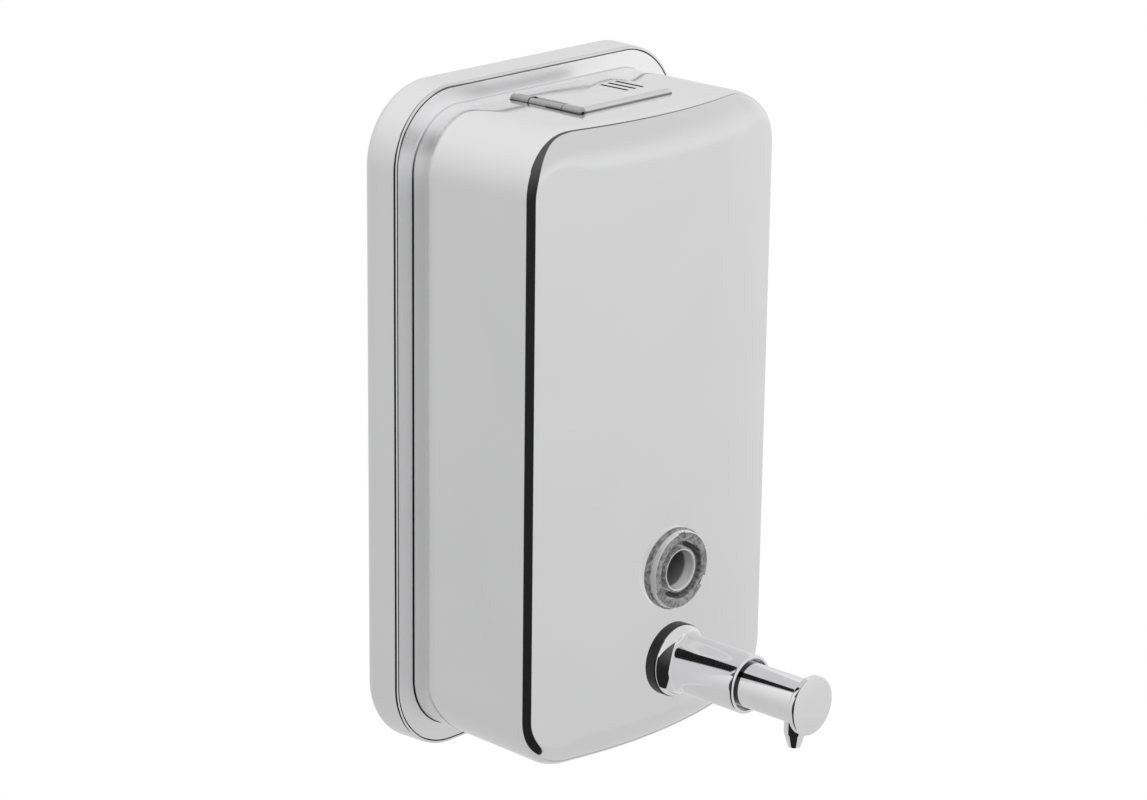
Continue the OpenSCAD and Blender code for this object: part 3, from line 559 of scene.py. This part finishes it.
shell = drawn_sheet("tank_shell", shell_rings(shell_sheet), shell_rings(0))
lid_low, lid_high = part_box("lid")
lid_rear, lid_front = -lid_high.y, -lid_low.y
roll_r = 1.5 * mm
hinge_x, hinge_z = lid_low.x + roll_r, lid_high.z - roll_r
under_top = tank_half_h - shell_sheet
mouth_in, knuckle_half, lid_gap = 1.6 * mm, 1.8 * mm, 0.3 * mm
mouth = block(hinge_x, lid_high.x - mouth_in, lid_rear + mouth_in, lid_front - mouth_in,
              under_top - mm, tank_half_h + mm)
soften_along(mouth, 1.2 * mm, 2)
work(shell, mouth)
work(shell, block(hinge_x - knuckle_half, hinge_x + knuckle_half, lid_rear - lid_gap,
                  lid_front + lid_gap, under_top - mm, tank_half_h + mm))
glass_low, glass_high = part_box("sight_glass")
glass_z = (glass_low.z + glass_high.z) / 2
seat_low, seat_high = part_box("pump_seat_ring")
pump_z = (seat_low.z + seat_high.z) / 2
for hole_z, hole_r in ((glass_z, 10.1 * mm), (pump_z, 8.9 * mm)):
    work(shell, round_bar(hole_r, front_depth_max - 3 * mm, front_depth_max + 3 * mm,
                          0, hole_z, 96))
foot_start, foot_end = pan_depth + 1.5 * mm, pan_depth + 10 * mm
top_start, top_end = tank_half_h - 25 * mm, tank_half_h - 4 * mm


def root_painted_shade_and_top_light(px, py, pz):
    """Painted shade darkens the root bend down the sides and less so along the top, and painted
    light makes the flange and the foot of the walls paler near the top.
    """
    depth = sums("MULTIPLY", py, -1)
    inside = sums("MULTIPLY", fade(depth, pan_depth + 0.02 * mm, pan_depth + 0.1 * mm, 0, 1),
                  fade(depth, pan_depth + 0.55 * mm, pan_depth + 0.65 * mm, 1, 0))
    amount = fade(pz, top_start, top_end, 0.95, 0.3)
    near_top = fade(pz, top_start, top_end, 0, 1)
    foot_painted_light = fade(depth, foot_start, foot_end, 0.32, 0)
    return sums("ADD", sums("MULTIPLY", near_top, foot_painted_light),
                sums("MULTIPLY_ADD", sums("MULTIPLY", inside, amount), -1, 1))


def root_brushing(px, py, pz):
    """The flange and the foot of the walls have less polish than the rest."""
    return fade(sums("MULTIPLY", py, -1), foot_start, foot_end, 0.3, 0)


# The shell's colour carries painted shade in the root bend and painted light near the top.
shell_steel = metal("shell_steel", **sheet_finish, painted_light_and_shade=root_painted_shade_and_top_light, brushed=root_brushing)
dress(shell, shell_steel, "housing", "front_shell")
finish_solid("tank_back", polished_steel)

# ------------------------------------------------------------------ filler lid
# A pressed steel plate with rounded edges. Its left end is rolled round a pin and notched for
# the fixed knuckle, and three slits near its right end take the key.
lid_edge, lid_sheet = 1.4 * mm, 0.8 * mm
lid_top = lid_high.z


def pressed_plate(x0, x1, d0, d1, z0, z1, corner, edge):
    """A plate with rounded corners whose top edge is rounded over."""
    plate = block(x0, x1, d0, d1, z0, z1)
    soften_along(plate, corner, 2, 8)
    only(plate)
    bpy.ops.object.mode_set(mode="EDIT")
    mesh = bmesh.from_edit_mesh(plate.data)
    for one in mesh.edges:
        one.select_set(all(abs(v.co.z - z1) < 1e-6 for v in one.verts))
    mesh.select_flush_mode()
    bmesh.update_edit_mesh(plate.data)
    bpy.ops.mesh.bevel(offset=edge, segments=8, affect="EDGES")
    bpy.ops.object.mode_set(mode="OBJECT")
    return plate


lid = pressed_plate(lid_low.x, lid_high.x, lid_rear, lid_front, lid_top - 1.5 * mm, lid_top,
                    2 * mm, lid_edge)
lid.name = lid.data.name = "filler_lid"
work(lid, pressed_plate(lid_low.x + lid_sheet, lid_high.x - lid_sheet, lid_rear + lid_sheet,
                        lid_front - lid_sheet, lid_top - 3 * mm, lid_top - lid_sheet,
                        1.2 * mm, lid_edge - lid_sheet))
work(lid, block(lid_low.x - mm, hinge_x, lid_rear - mm, lid_front + mm, lid_top - 4 * mm,
                lid_top + mm))
work(lid, block(-lid_high.x * 2, lid_high.x * 2, 0, lid_front + 10 * mm, lid_top - 4 * mm,
                tank_half_h))
work(lid, round_bar(roll_r, lid_rear, lid_front, hinge_x, hinge_z), "UNION")
work(lid, round_bar(0.55 * mm, lid_rear - mm, lid_front + mm, hinge_x, hinge_z, 32))
lid_mid = (lid_rear + lid_front) / 2
work(lid, block(hinge_x - 2.5 * mm, hinge_x + 1.6 * mm, lid_mid - 6.7 * mm, lid_mid + 6.7 * mm,
                lid_top - 4 * mm, lid_top + mm))
slit_half, slit_pitch, slit_first = 0.6 * mm, 3.3 * mm, lid_high.x - 4.8 * mm
slit_rear, slit_front = lid_mid - 4.2 * mm, lid_mid + 6.6 * mm
slit_places = [slit_first - i * slit_pitch for i in range(3)]
for slit_x in slit_places:
    slit = block(slit_x - slit_half, slit_x + slit_half, slit_rear, slit_front,
                 lid_top - 3 * mm, lid_top + mm)
    soften_along(slit, 0.98 * slit_half, 2)
    work(lid, slit)


roll_end, flat_start = hinge_x + 0.6 * mm, hinge_x + 1.6 * mm


def roll_painted_shade(px, py, pz):
    """Painted shade: grey on the roll and low on the front edge, and dark between the walls of the
    slits.
    """
    low = sums("MAXIMUM", fade(pz, lid_top - 1.4 * mm, lid_top - 0.8 * mm, 0.3, 1),
               fade(py, -lid_mid - mm, -lid_mid, 0, 1))
    shade = sums("MULTIPLY", fade(px, roll_end, flat_start, 0.6, 1), low)
    slit_reach = (slit_front - slit_rear) / 2
    along = sums("ABSOLUTE", sums("ADD", py, (slit_rear + slit_front) / 2))
    beyond = fade(along, slit_reach, slit_reach + 0.01 * mm, 0, 1)
    for slit_x in slit_places:
        across = sums("ABSOLUTE", sums("SUBTRACT", px, slit_x))
        walls = sums("MAXIMUM", beyond,
                     fade(across, slit_half + 0.002 * mm, slit_half + 0.01 * mm, 0.03, 1))
        shade = sums("MULTIPLY", shade, walls)
    return shade


def roll_brushing(px, py, pz):
    """The roll has less polish than the plate."""
    return fade(px, roll_end, flat_start, 0.25, 0)


# The lid's colour carries painted shade on the roll, on the low front edge and in the slits.
lid_steel = metal("lid_steel", **{**sheet_finish, "gloss": 0.1}, painted_light_and_shade=roll_painted_shade,
                  brushed=roll_brushing)
dress(lid, lid_steel, "lid", "lid")

# The fixed knuckle, the pin and the lock work below the lid keep their solids.
finish_solid("lid_hinge_bracket", lid_steel)
finish_solid("lid_hinge_pin", bright_steel)
black_zinc = metal("black_zinc", (0.05, 0.05, 0.052), 0.4, 0.2, 60, 900, 0.25)
finish_solid("lock_housing", black_zinc)
brass = metal("machined_brass", (0.68, 0.47, 0.2), 0.2, 0.1, 80, 1500, 0.15)
finish_solid("lock_bolt", brass)

# ------------------------------------------------------------------ sight glass
# A clear moulded plug screwed through the front: a flange, a raised ring, a groove round an
# open cup, and three notches for a spanner.
def rounded(corners):
    """Corners (radius, depth, rounding) of a turned outline, each rounding made an arc."""
    steps = 6
    out = []
    for n, (r, d, f) in enumerate(corners):
        here = Vector((r, d))
        if f == 0 or n in (0, len(corners) - 1):
            out.append(tuple(here))
            continue
        a = (Vector(corners[n - 1][:2]) - here).normalized()
        b = (Vector(corners[n + 1][:2]) - here).normalized()
        half = a.angle(b) / 2
        centre = here + (a + b).normalized() * f / math.sin(half)
        start = here + a * f / math.tan(half) - centre
        end = here + b * f / math.tan(half) - centre
        sweep = start.angle(end)
        for i in range(steps + 1):
            w = i / steps
            out.append(tuple(centre + (start * math.sin((1 - w) * sweep)
                                       + end * math.sin(w * sweep)) / math.sin(sweep)))
    return out


def turned(name, outline, pz, closed=True):
    """A piece turned on an axis square to the wall: a ring is drawn out and sized step by step."""
    r, d = outline[0]
    bpy.ops.object.select_all(action="DESELECT")
    bpy.ops.mesh.primitive_circle_add(
        vertices=128, radius=r, location=(0, -d, pz), rotation=(math.pi / 2, 0, 0)
    )
    bpy.ops.object.transform_apply(location=True, rotation=True, scale=True)
    piece = bpy.context.object
    piece.name = piece.data.name = name
    bpy.ops.object.mode_set(mode="EDIT")
    bpy.ops.mesh.select_all(action="SELECT")
    for (r0, d0), (r1, d1) in zip(outline, outline[1:]):
        bpy.ops.mesh.extrude_region_move(TRANSFORM_OT_translate={"value": (0, d0 - d1, 0)})
        bpy.ops.transform.resize(value=(r1 / r0, 1, r1 / r0), center_override=(0, -d1, pz))
    bpy.ops.mesh.select_all(action="SELECT")
    if not closed:
        bpy.ops.mesh.fill_holes(sides=0)
    bpy.ops.object.mode_set(mode="OBJECT")
    tidy(piece)
    return piece


def seat_on_front(piece, depth):
    """Lays the ring of a piece that is at one depth against the bowed front."""
    for vertex in piece.data.vertices:
        if abs(vertex.co.y + depth) < 1e-6:
            vertex.co.y = -front_depth(vertex.co.x)


glass_r, glass_rim = glass_high.x, -glass_low.y
cup_rim, groove_floor = glass_rim - 0.4 * mm, front_depth_max - 3 * mm
cup_floor, shank_end = front_depth_max - 12 * mm, front_depth_max - 14 * mm
flange_front, flange_back = front_depth_max + 1.5 * mm, front_depth_max - 2 * mm
cup_r, cup_wall_r, ring_in_r, ring_out_r, glass_shank_r = (
    5.7 * mm, 7.0 * mm, 8.9 * mm, 11.8 * mm, 9.8 * mm
)
sight_glass = turned("sight_glass_plug", rounded([
    (cup_r, cup_floor, 0),
    (6.0 * mm, cup_rim, 0.3 * mm),
    (cup_wall_r, cup_rim, 0.3 * mm),
    (cup_wall_r, groove_floor, 0.4 * mm),
    (ring_in_r, groove_floor, 0.4 * mm),
    (ring_in_r, glass_rim, 0.4 * mm),
    (ring_out_r, glass_rim, 0.5 * mm),
    (ring_out_r, flange_front, 0.15 * mm),
    (glass_r, flange_front, 0.4 * mm),
    (glass_r, flange_back, 0),
    (glass_shank_r, flange_back, 0),
    (glass_shank_r, shank_end, 0),
    (2 * mm, shank_end, 0),
    (2 * mm, cup_floor, 0),
    (cup_r, cup_floor, 0),
]), glass_z)
seat_on_front(sight_glass, flange_back)
notch_half = 1.5 * mm
for a in (150, 270, 30):
    notch = block(9.6 * mm, 13 * mm, glass_rim - 0.7 * mm, glass_rim + mm, -notch_half, notch_half)
    notch.rotation_euler = (0, math.radians(a), 0)
    notch.location = (0, 0, glass_z)
    work(sight_glass, notch)
clear_plastic = bpy.data.materials.new("clear_plastic")
clear_plastic.use_nodes = True
nodes, links = clear_plastic.node_tree.nodes, clear_plastic.node_tree.links

# It is clear in the flange, the ring and the groove, with faint clouds, and darker where it is seen
# edge on, which is painted shade. A painted highlight makes the ring's rounded outer wall white, and
# painted light and shade make the cup pale near its rim and dark deeper in. To mirror rays from
# outside it shows no colour and glows pale grey instead, a painted reflection, so it leaves no dark
# image in the steel beside it.
shader = nodes["Principled BSDF"]
shader.inputs["IOR"].default_value = 1.49
shader.inputs["Coat Weight"].default_value = 0.6
shader.inputs["Transmission Weight"].default_value = 0.25
# Strength of the painted glow that mirror rays see.
shader.inputs["Emission Strength"].default_value = 0.78
where = nodes.new("ShaderNodeSeparateXYZ")
links.new(nodes.new("ShaderNodeTexCoord").outputs["Object"], where.inputs[0])
from_axis = sums("MULTIPLY", where.outputs[0], where.outputs[0])
over_axis = sums("SUBTRACT", where.outputs[2], glass_z)
from_axis = sums("SQRT", sums("MULTIPLY_ADD", over_axis, over_axis, from_axis))
inwards = sums("ADD", where.outputs[1], glass_rim)
# Painted light and shade in the cup, and a painted highlight on the ring's rounded outer wall.
cup_wall = fade(from_axis, 6.3 * mm, 6.7 * mm, 1, 0)
cup_painted_light_and_shade = fade(inwards, 3.4 * mm, 4.6 * mm, 1, 0.26)
ring_painted_highlight = sums("MULTIPLY", fade(from_axis, ring_out_r - 0.5 * mm, ring_out_r - 0.2 * mm, 0, 1),
                 fade(from_axis, ring_out_r + 0.05 * mm, ring_out_r + 0.15 * mm, 1, 0))
painted_pale_mask = sums("MAXIMUM", cup_wall, ring_painted_highlight)
painted_pale_tone = sums("MAXIMUM", sums("MULTIPLY", cup_wall, cup_painted_light_and_shade), ring_painted_highlight)
cloud = nodes.new("ShaderNodeTexNoise")
cloud.inputs["Scale"].default_value = 750
cloud.inputs["Detail"].default_value = 3
links.new(nodes.new("ShaderNodeTexCoord").outputs["Object"], cloud.inputs["Vector"])
edge_on = nodes.new("ShaderNodeLayerWeight")
edge_on.inputs["Blend"].default_value = 0.35
path = nodes.new("ShaderNodeLightPath")
outer_skin = sums("MAXIMUM", fade(from_axis, 8.5 * mm, 9 * mm, 0, 1),
                  sums("GREATER_THAN", path.outputs["Ray Length"], 14 * mm))
from_outside = sums("SUBTRACT", 1, nodes.new("ShaderNodeNewGeometry").outputs["Backfacing"])
# Mirror rays from outside see no colour but a pale grey glow: a painted reflection.
painted_mirror_glow = sums("MULTIPLY", sums("MULTIPLY", path.outputs["Is Glossy Ray"], outer_skin),
                  from_outside)
# Darker where the plug is seen edge on: painted shade. The clouds are the plastic's own.
clear_grey_and_painted_edge_shade = sums("MULTIPLY", fade(edge_on.outputs["Facing"], 0.15, 0.9, 0.34, 0.02),
                  fade(cloud.outputs["Fac"], 0.35, 0.65, 0.45, 1.35))
seen_grey = sums("MULTIPLY_ADD", painted_pale_mask, sums("SUBTRACT", painted_pale_tone, clear_grey_and_painted_edge_shade), clear_grey_and_painted_edge_shade)
grey = sums("MULTIPLY", sums("SUBTRACT", 1, painted_mirror_glow), seen_grey)
clear_tint = nodes.new("ShaderNodeCombineColor")
for socket in clear_tint.inputs:
    links.new(grey, socket)
links.new(clear_tint.outputs[0], shader.inputs["Base Color"])
painted_glow_tint = nodes.new("ShaderNodeCombineColor")
for socket in painted_glow_tint.inputs:
    links.new(painted_mirror_glow, socket)
links.new(painted_glow_tint.outputs[0], shader.inputs["Emission Color"])
links.new(wiped(120, 0.08, 0.12)["Roughness"], shader.inputs["Roughness"])
dress(sight_glass, clear_plastic, "housing", "sight_glass")

# ------------------------------------------------------------------ seals and nuts
# Black moulded rubber seals and white moulded nuts hold the sight glass and the pump from inside.
# The pump's seat ring shows in front: it is laid against the bowed face.
def moulded(name, colour, gloss, size, bite):
    """A moulded rubber or plastic, with fine unevenness in its skin."""
    global nodes, links
    made = bpy.data.materials.new(name)
    made.use_nodes = True
    nodes, links = made.node_tree.nodes, made.node_tree.links
    shader = nodes["Principled BSDF"]
    cloud = nodes.new("ShaderNodeTexNoise")
    cloud.inputs["Scale"].default_value = size
    cloud.inputs["Detail"].default_value = 5
    links.new(nodes.new("ShaderNodeTexCoord").outputs["Object"], cloud.inputs["Vector"])
    shades = nodes.new("ShaderNodeValToRGB")
    shades.color_ramp.elements[0].color = (*[c * 0.9 for c in colour], 1)
    shades.color_ramp.elements[1].color = (*colour, 1)
    links.new(cloud.outputs["Fac"], shades.inputs[0])
    links.new(shades.outputs[0], shader.inputs["Base Color"])
    links.new(fade(cloud.outputs["Fac"], 0.3, 0.7, gloss, gloss + 0.12), shader.inputs["Roughness"])
    bump = nodes.new("ShaderNodeBump")
    bump.inputs["Strength"].default_value = bite
    bump.inputs["Distance"].default_value = 0.05 * mm
    links.new(cloud.outputs["Fac"], bump.inputs["Height"])
    links.new(bump.outputs[0], shader.inputs["Normal"])
    return made


rubber = moulded("black_rubber", (0.018, 0.018, 0.019), 0.42, 900, 0.35)
white_plastic = moulded("white_plastic", (0.84, 0.84, 0.82), 0.35, 500, 0.1)
seat_r, seat_bore_r, seat_front = seat_high.x, 8.65 * mm, -seat_low.y
seat_ring = turned("pump_seat_seal", rounded([
    (seat_bore_r, front_depth_max, 0),
    (seat_bore_r, seat_front, 0),
    (seat_r, seat_front, 0.5 * mm),
    (seat_r, front_depth_max, 0),
    (seat_bore_r, front_depth_max, 0),
]), pump_z)
seat_on_front(seat_ring, front_depth_max)
dress(seat_ring, rubber, "housing", "pump_seat_ring", mirrored=False)
for name in ("sight_glass_gasket", "pump_gasket", "piston_seal"):
    finish_solid(name, rubber)
for name in ("sight_glass_nut", "pump_lock_nut", "pump_cylinder", "inlet_tube", "piston"):
    finish_solid(name, white_plastic)
for name in ("inlet_ball", "outlet_ball"):
    finish_solid(name, bright_steel)

# ------------------------------------------------------------------ pump sleeve
# A chromed brass sleeve, turned in one with its threaded shank: a thin collar on the seal, a
# flare, a straight barrel and a rounded mouth with a recess round the plunger.
sleeve_low, sleeve_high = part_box("pump_sleeve")
collar_r, mouth_depth, shank_depth = sleeve_high.x, -sleeve_low.y, -sleeve_high.y
barrel_r, shank_r, bore_r, mouth_r = 8.9 * mm, 8.6 * mm, 6.85 * mm, 7.7 * mm
mouth_floor = mouth_depth - 6 * mm
flare_start, flare_length = seat_front + 0.3 * mm, 4.6 * mm
first, flare_steps = math.radians(26), 11
flare = [
    (barrel_r + (collar_r - barrel_r) * (1 - math.sin(a)) / (1 - math.sin(first)),
     flare_start + flare_length * (1 - math.cos(a) / math.cos(first)))
    for a in (first + (math.pi / 2 - first) * i / flare_steps for i in range(1, flare_steps + 1))
]
sleeve = turned("pump_barrel", rounded([
    (bore_r, shank_depth, 0), (shank_r, shank_depth, 0.3 * mm), (shank_r, seat_front, 0),
    (collar_r, seat_front, 0.12 * mm), (collar_r, flare_start, 0.15 * mm),
]) + flare + rounded([
    (barrel_r, mouth_depth - 2 * mm, 0), (barrel_r, mouth_depth, 0.5 * mm),
    (mouth_r, mouth_depth, 0.3 * mm), (mouth_r, mouth_floor, 0.2 * mm),
    (bore_r, mouth_floor, 0.1 * mm), (bore_r, shank_depth, 0),
]), pump_z)
chrome_finish = {"colour": (0.74, 0.74, 0.75), "gloss": 0.035, "marks": 0.03, "size": 60,
                 "fineness": 3000, "bite": 0.02}
chrome = metal("polished_chrome", **chrome_finish)


def bore_painted_shade(px, py, pz):
    """Painted shade: dark in the bore that the plunger slides in."""
    over = sums("SUBTRACT", pz, pump_z)
    out = sums("SQRT", sums("MULTIPLY_ADD", over, over, sums("MULTIPLY", px, px)))
    return fade(out, mouth_r + 0.1 * mm, mouth_r + 0.3 * mm, 0.04, 1)


# The barrel's colour carries painted shade in its bore.
barrel_chrome = metal("barrel_chrome", **chrome_finish, painted_light_and_shade=bore_painted_shade)
dress(sleeve, barrel_chrome, "housing", "pump_sleeve", mirrored=False)

# ------------------------------------------------------------------ plunger and its button
# A chromed tube that slides in the barrel and carries a round push button. Its nozzle is
# pressed in from below.
plunger_low, plunger_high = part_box("plunger")
tube_r, tube_end, tube_start = plunger_high.x, -plunger_low.y, -plunger_high.y
tube_bore_r = 5.4 * mm
tube = turned("plunger_tube", rounded([
    (tube_bore_r, tube_end - 1.5 * mm, 0), (tube_bore_r, tube_start, 0),
    (tube_r, tube_start, 0.2 * mm), (tube_r, tube_end, 0),
]), pump_z, closed=False)
nozzle_low, nozzle_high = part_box("nozzle")
nozzle_y = (nozzle_low.y + nozzle_high.y) / 2
nozzle_r = nozzle_high.x
work(tube, upright_bar(nozzle_r, 8 * mm, nozzle_y, pump_z - 8 * mm, 96))


def tube_painted_shade(px, py, pz):
    """Painted shade: dark where the tube is down in the mouth of the barrel."""
    return fade(sums("MULTIPLY", py, -1), mouth_depth + 0.7 * mm, mouth_depth + 0.9 * mm, 0.05, 1)


tube_chrome = metal("tube_chrome", **chrome_finish, painted_light_and_shade=tube_painted_shade)
dress(tube, tube_chrome, "plunger", "plunger", mirrored=False)

cap_low, cap_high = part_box("plunger_cap")
cap_r, cap_face = cap_high.x, -cap_low.y
button = turned("push_button", rounded([
    (2 * mm, tube_end, 0), (cap_r, tube_end, 0.5 * mm), (cap_r, cap_face, 0.45 * mm),
    (2 * mm, cap_face, 0),
]), pump_z, closed=False)
dress(button, chrome, "plunger", "plunger_cap", mirrored=False)

# ------------------------------------------------------------------ nozzle
# A short chromed spout with a tapered end and a bore, turned and then pressed into the plunger
# from below. It points straight down, close behind the button.
spout_low, spout_top, spout_bore_r = nozzle_low.z, nozzle_high.z, 1.2 * mm
bpy.ops.object.select_all(action="DESELECT")
bpy.ops.mesh.primitive_circle_add(
    vertices=96, radius=spout_bore_r, location=(0, nozzle_y, spout_top)
)
bpy.ops.object.transform_apply(location=True, rotation=True, scale=True)
nozzle = bpy.context.object
nozzle.name = nozzle.data.name = "spout"
bpy.ops.object.mode_set(mode="EDIT")
bpy.ops.mesh.select_all(action="SELECT")
outline = rounded([
    (spout_bore_r, spout_top, 0), (nozzle_r, spout_top, 0),
    (nozzle_r, spout_low + 4.4 * mm, 1.6 * mm), (1.95 * mm, spout_low + 0.4 * mm, 0.2 * mm),
    (1.8 * mm, spout_low, 0.1 * mm), (spout_bore_r, spout_low, 0), (spout_bore_r, spout_top, 0),
])
for (r0, z0), (r1, z1) in zip(outline, outline[1:]):
    bpy.ops.mesh.extrude_region_move(TRANSFORM_OT_translate={"value": (0, 0, z1 - z0)})
    bpy.ops.transform.resize(value=(r1 / r0, r1 / r0, 1), center_override=(0, nozzle_y, z1))
bpy.ops.object.mode_set(mode="OBJECT")
tidy(nozzle)
dress(nozzle, chrome, "plunger", "nozzle", mirrored=False)

# ------------------------------------------------------------------ springs
# Two coils of round stainless wire, wound on the pump's axis. The large one lies in the pump
# cylinder and shortens when the button is pressed, the small one when the outlet ball lifts.
def coil_spring(name, node, wire, turns, body):
    """Winds a spring through the box of its solid."""
    low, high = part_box(node)
    length = high.y - low.y
    bpy.ops.object.select_all(action="DESELECT")
    bpy.ops.mesh.primitive_circle_add(vertices=12, radius=wire, location=(high.x - wire, 0, 0))
    bpy.ops.object.transform_apply(location=True, rotation=True, scale=True)
    piece = bpy.context.object
    piece.name = piece.data.name = name
    bpy.ops.object.modifier_add(type="SCREW")
    winding = piece.modifiers[-1]
    winding.axis, winding.iterations, winding.steps = "Y", turns, 32
    winding.screw_offset = (length - 2 * wire) / turns
    bpy.ops.object.modifier_apply(modifier=winding.name)
    bpy.ops.object.mode_set(mode="EDIT")
    bpy.ops.mesh.select_all(action="SELECT")
    bpy.ops.transform.translate(value=(0, low.y + wire, pump_z))
    bpy.ops.mesh.fill_holes(sides=0)
    bpy.ops.object.mode_set(mode="OBJECT")
    tidy(piece)
    dress(piece, bright_steel, body, node)
    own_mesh(piece)


coil_spring("return_coil", "return_spring", 0.5 * mm, 6, "housing")
coil_spring("outlet_coil", "outlet_spring", 0.2 * mm, 5, "plunger")
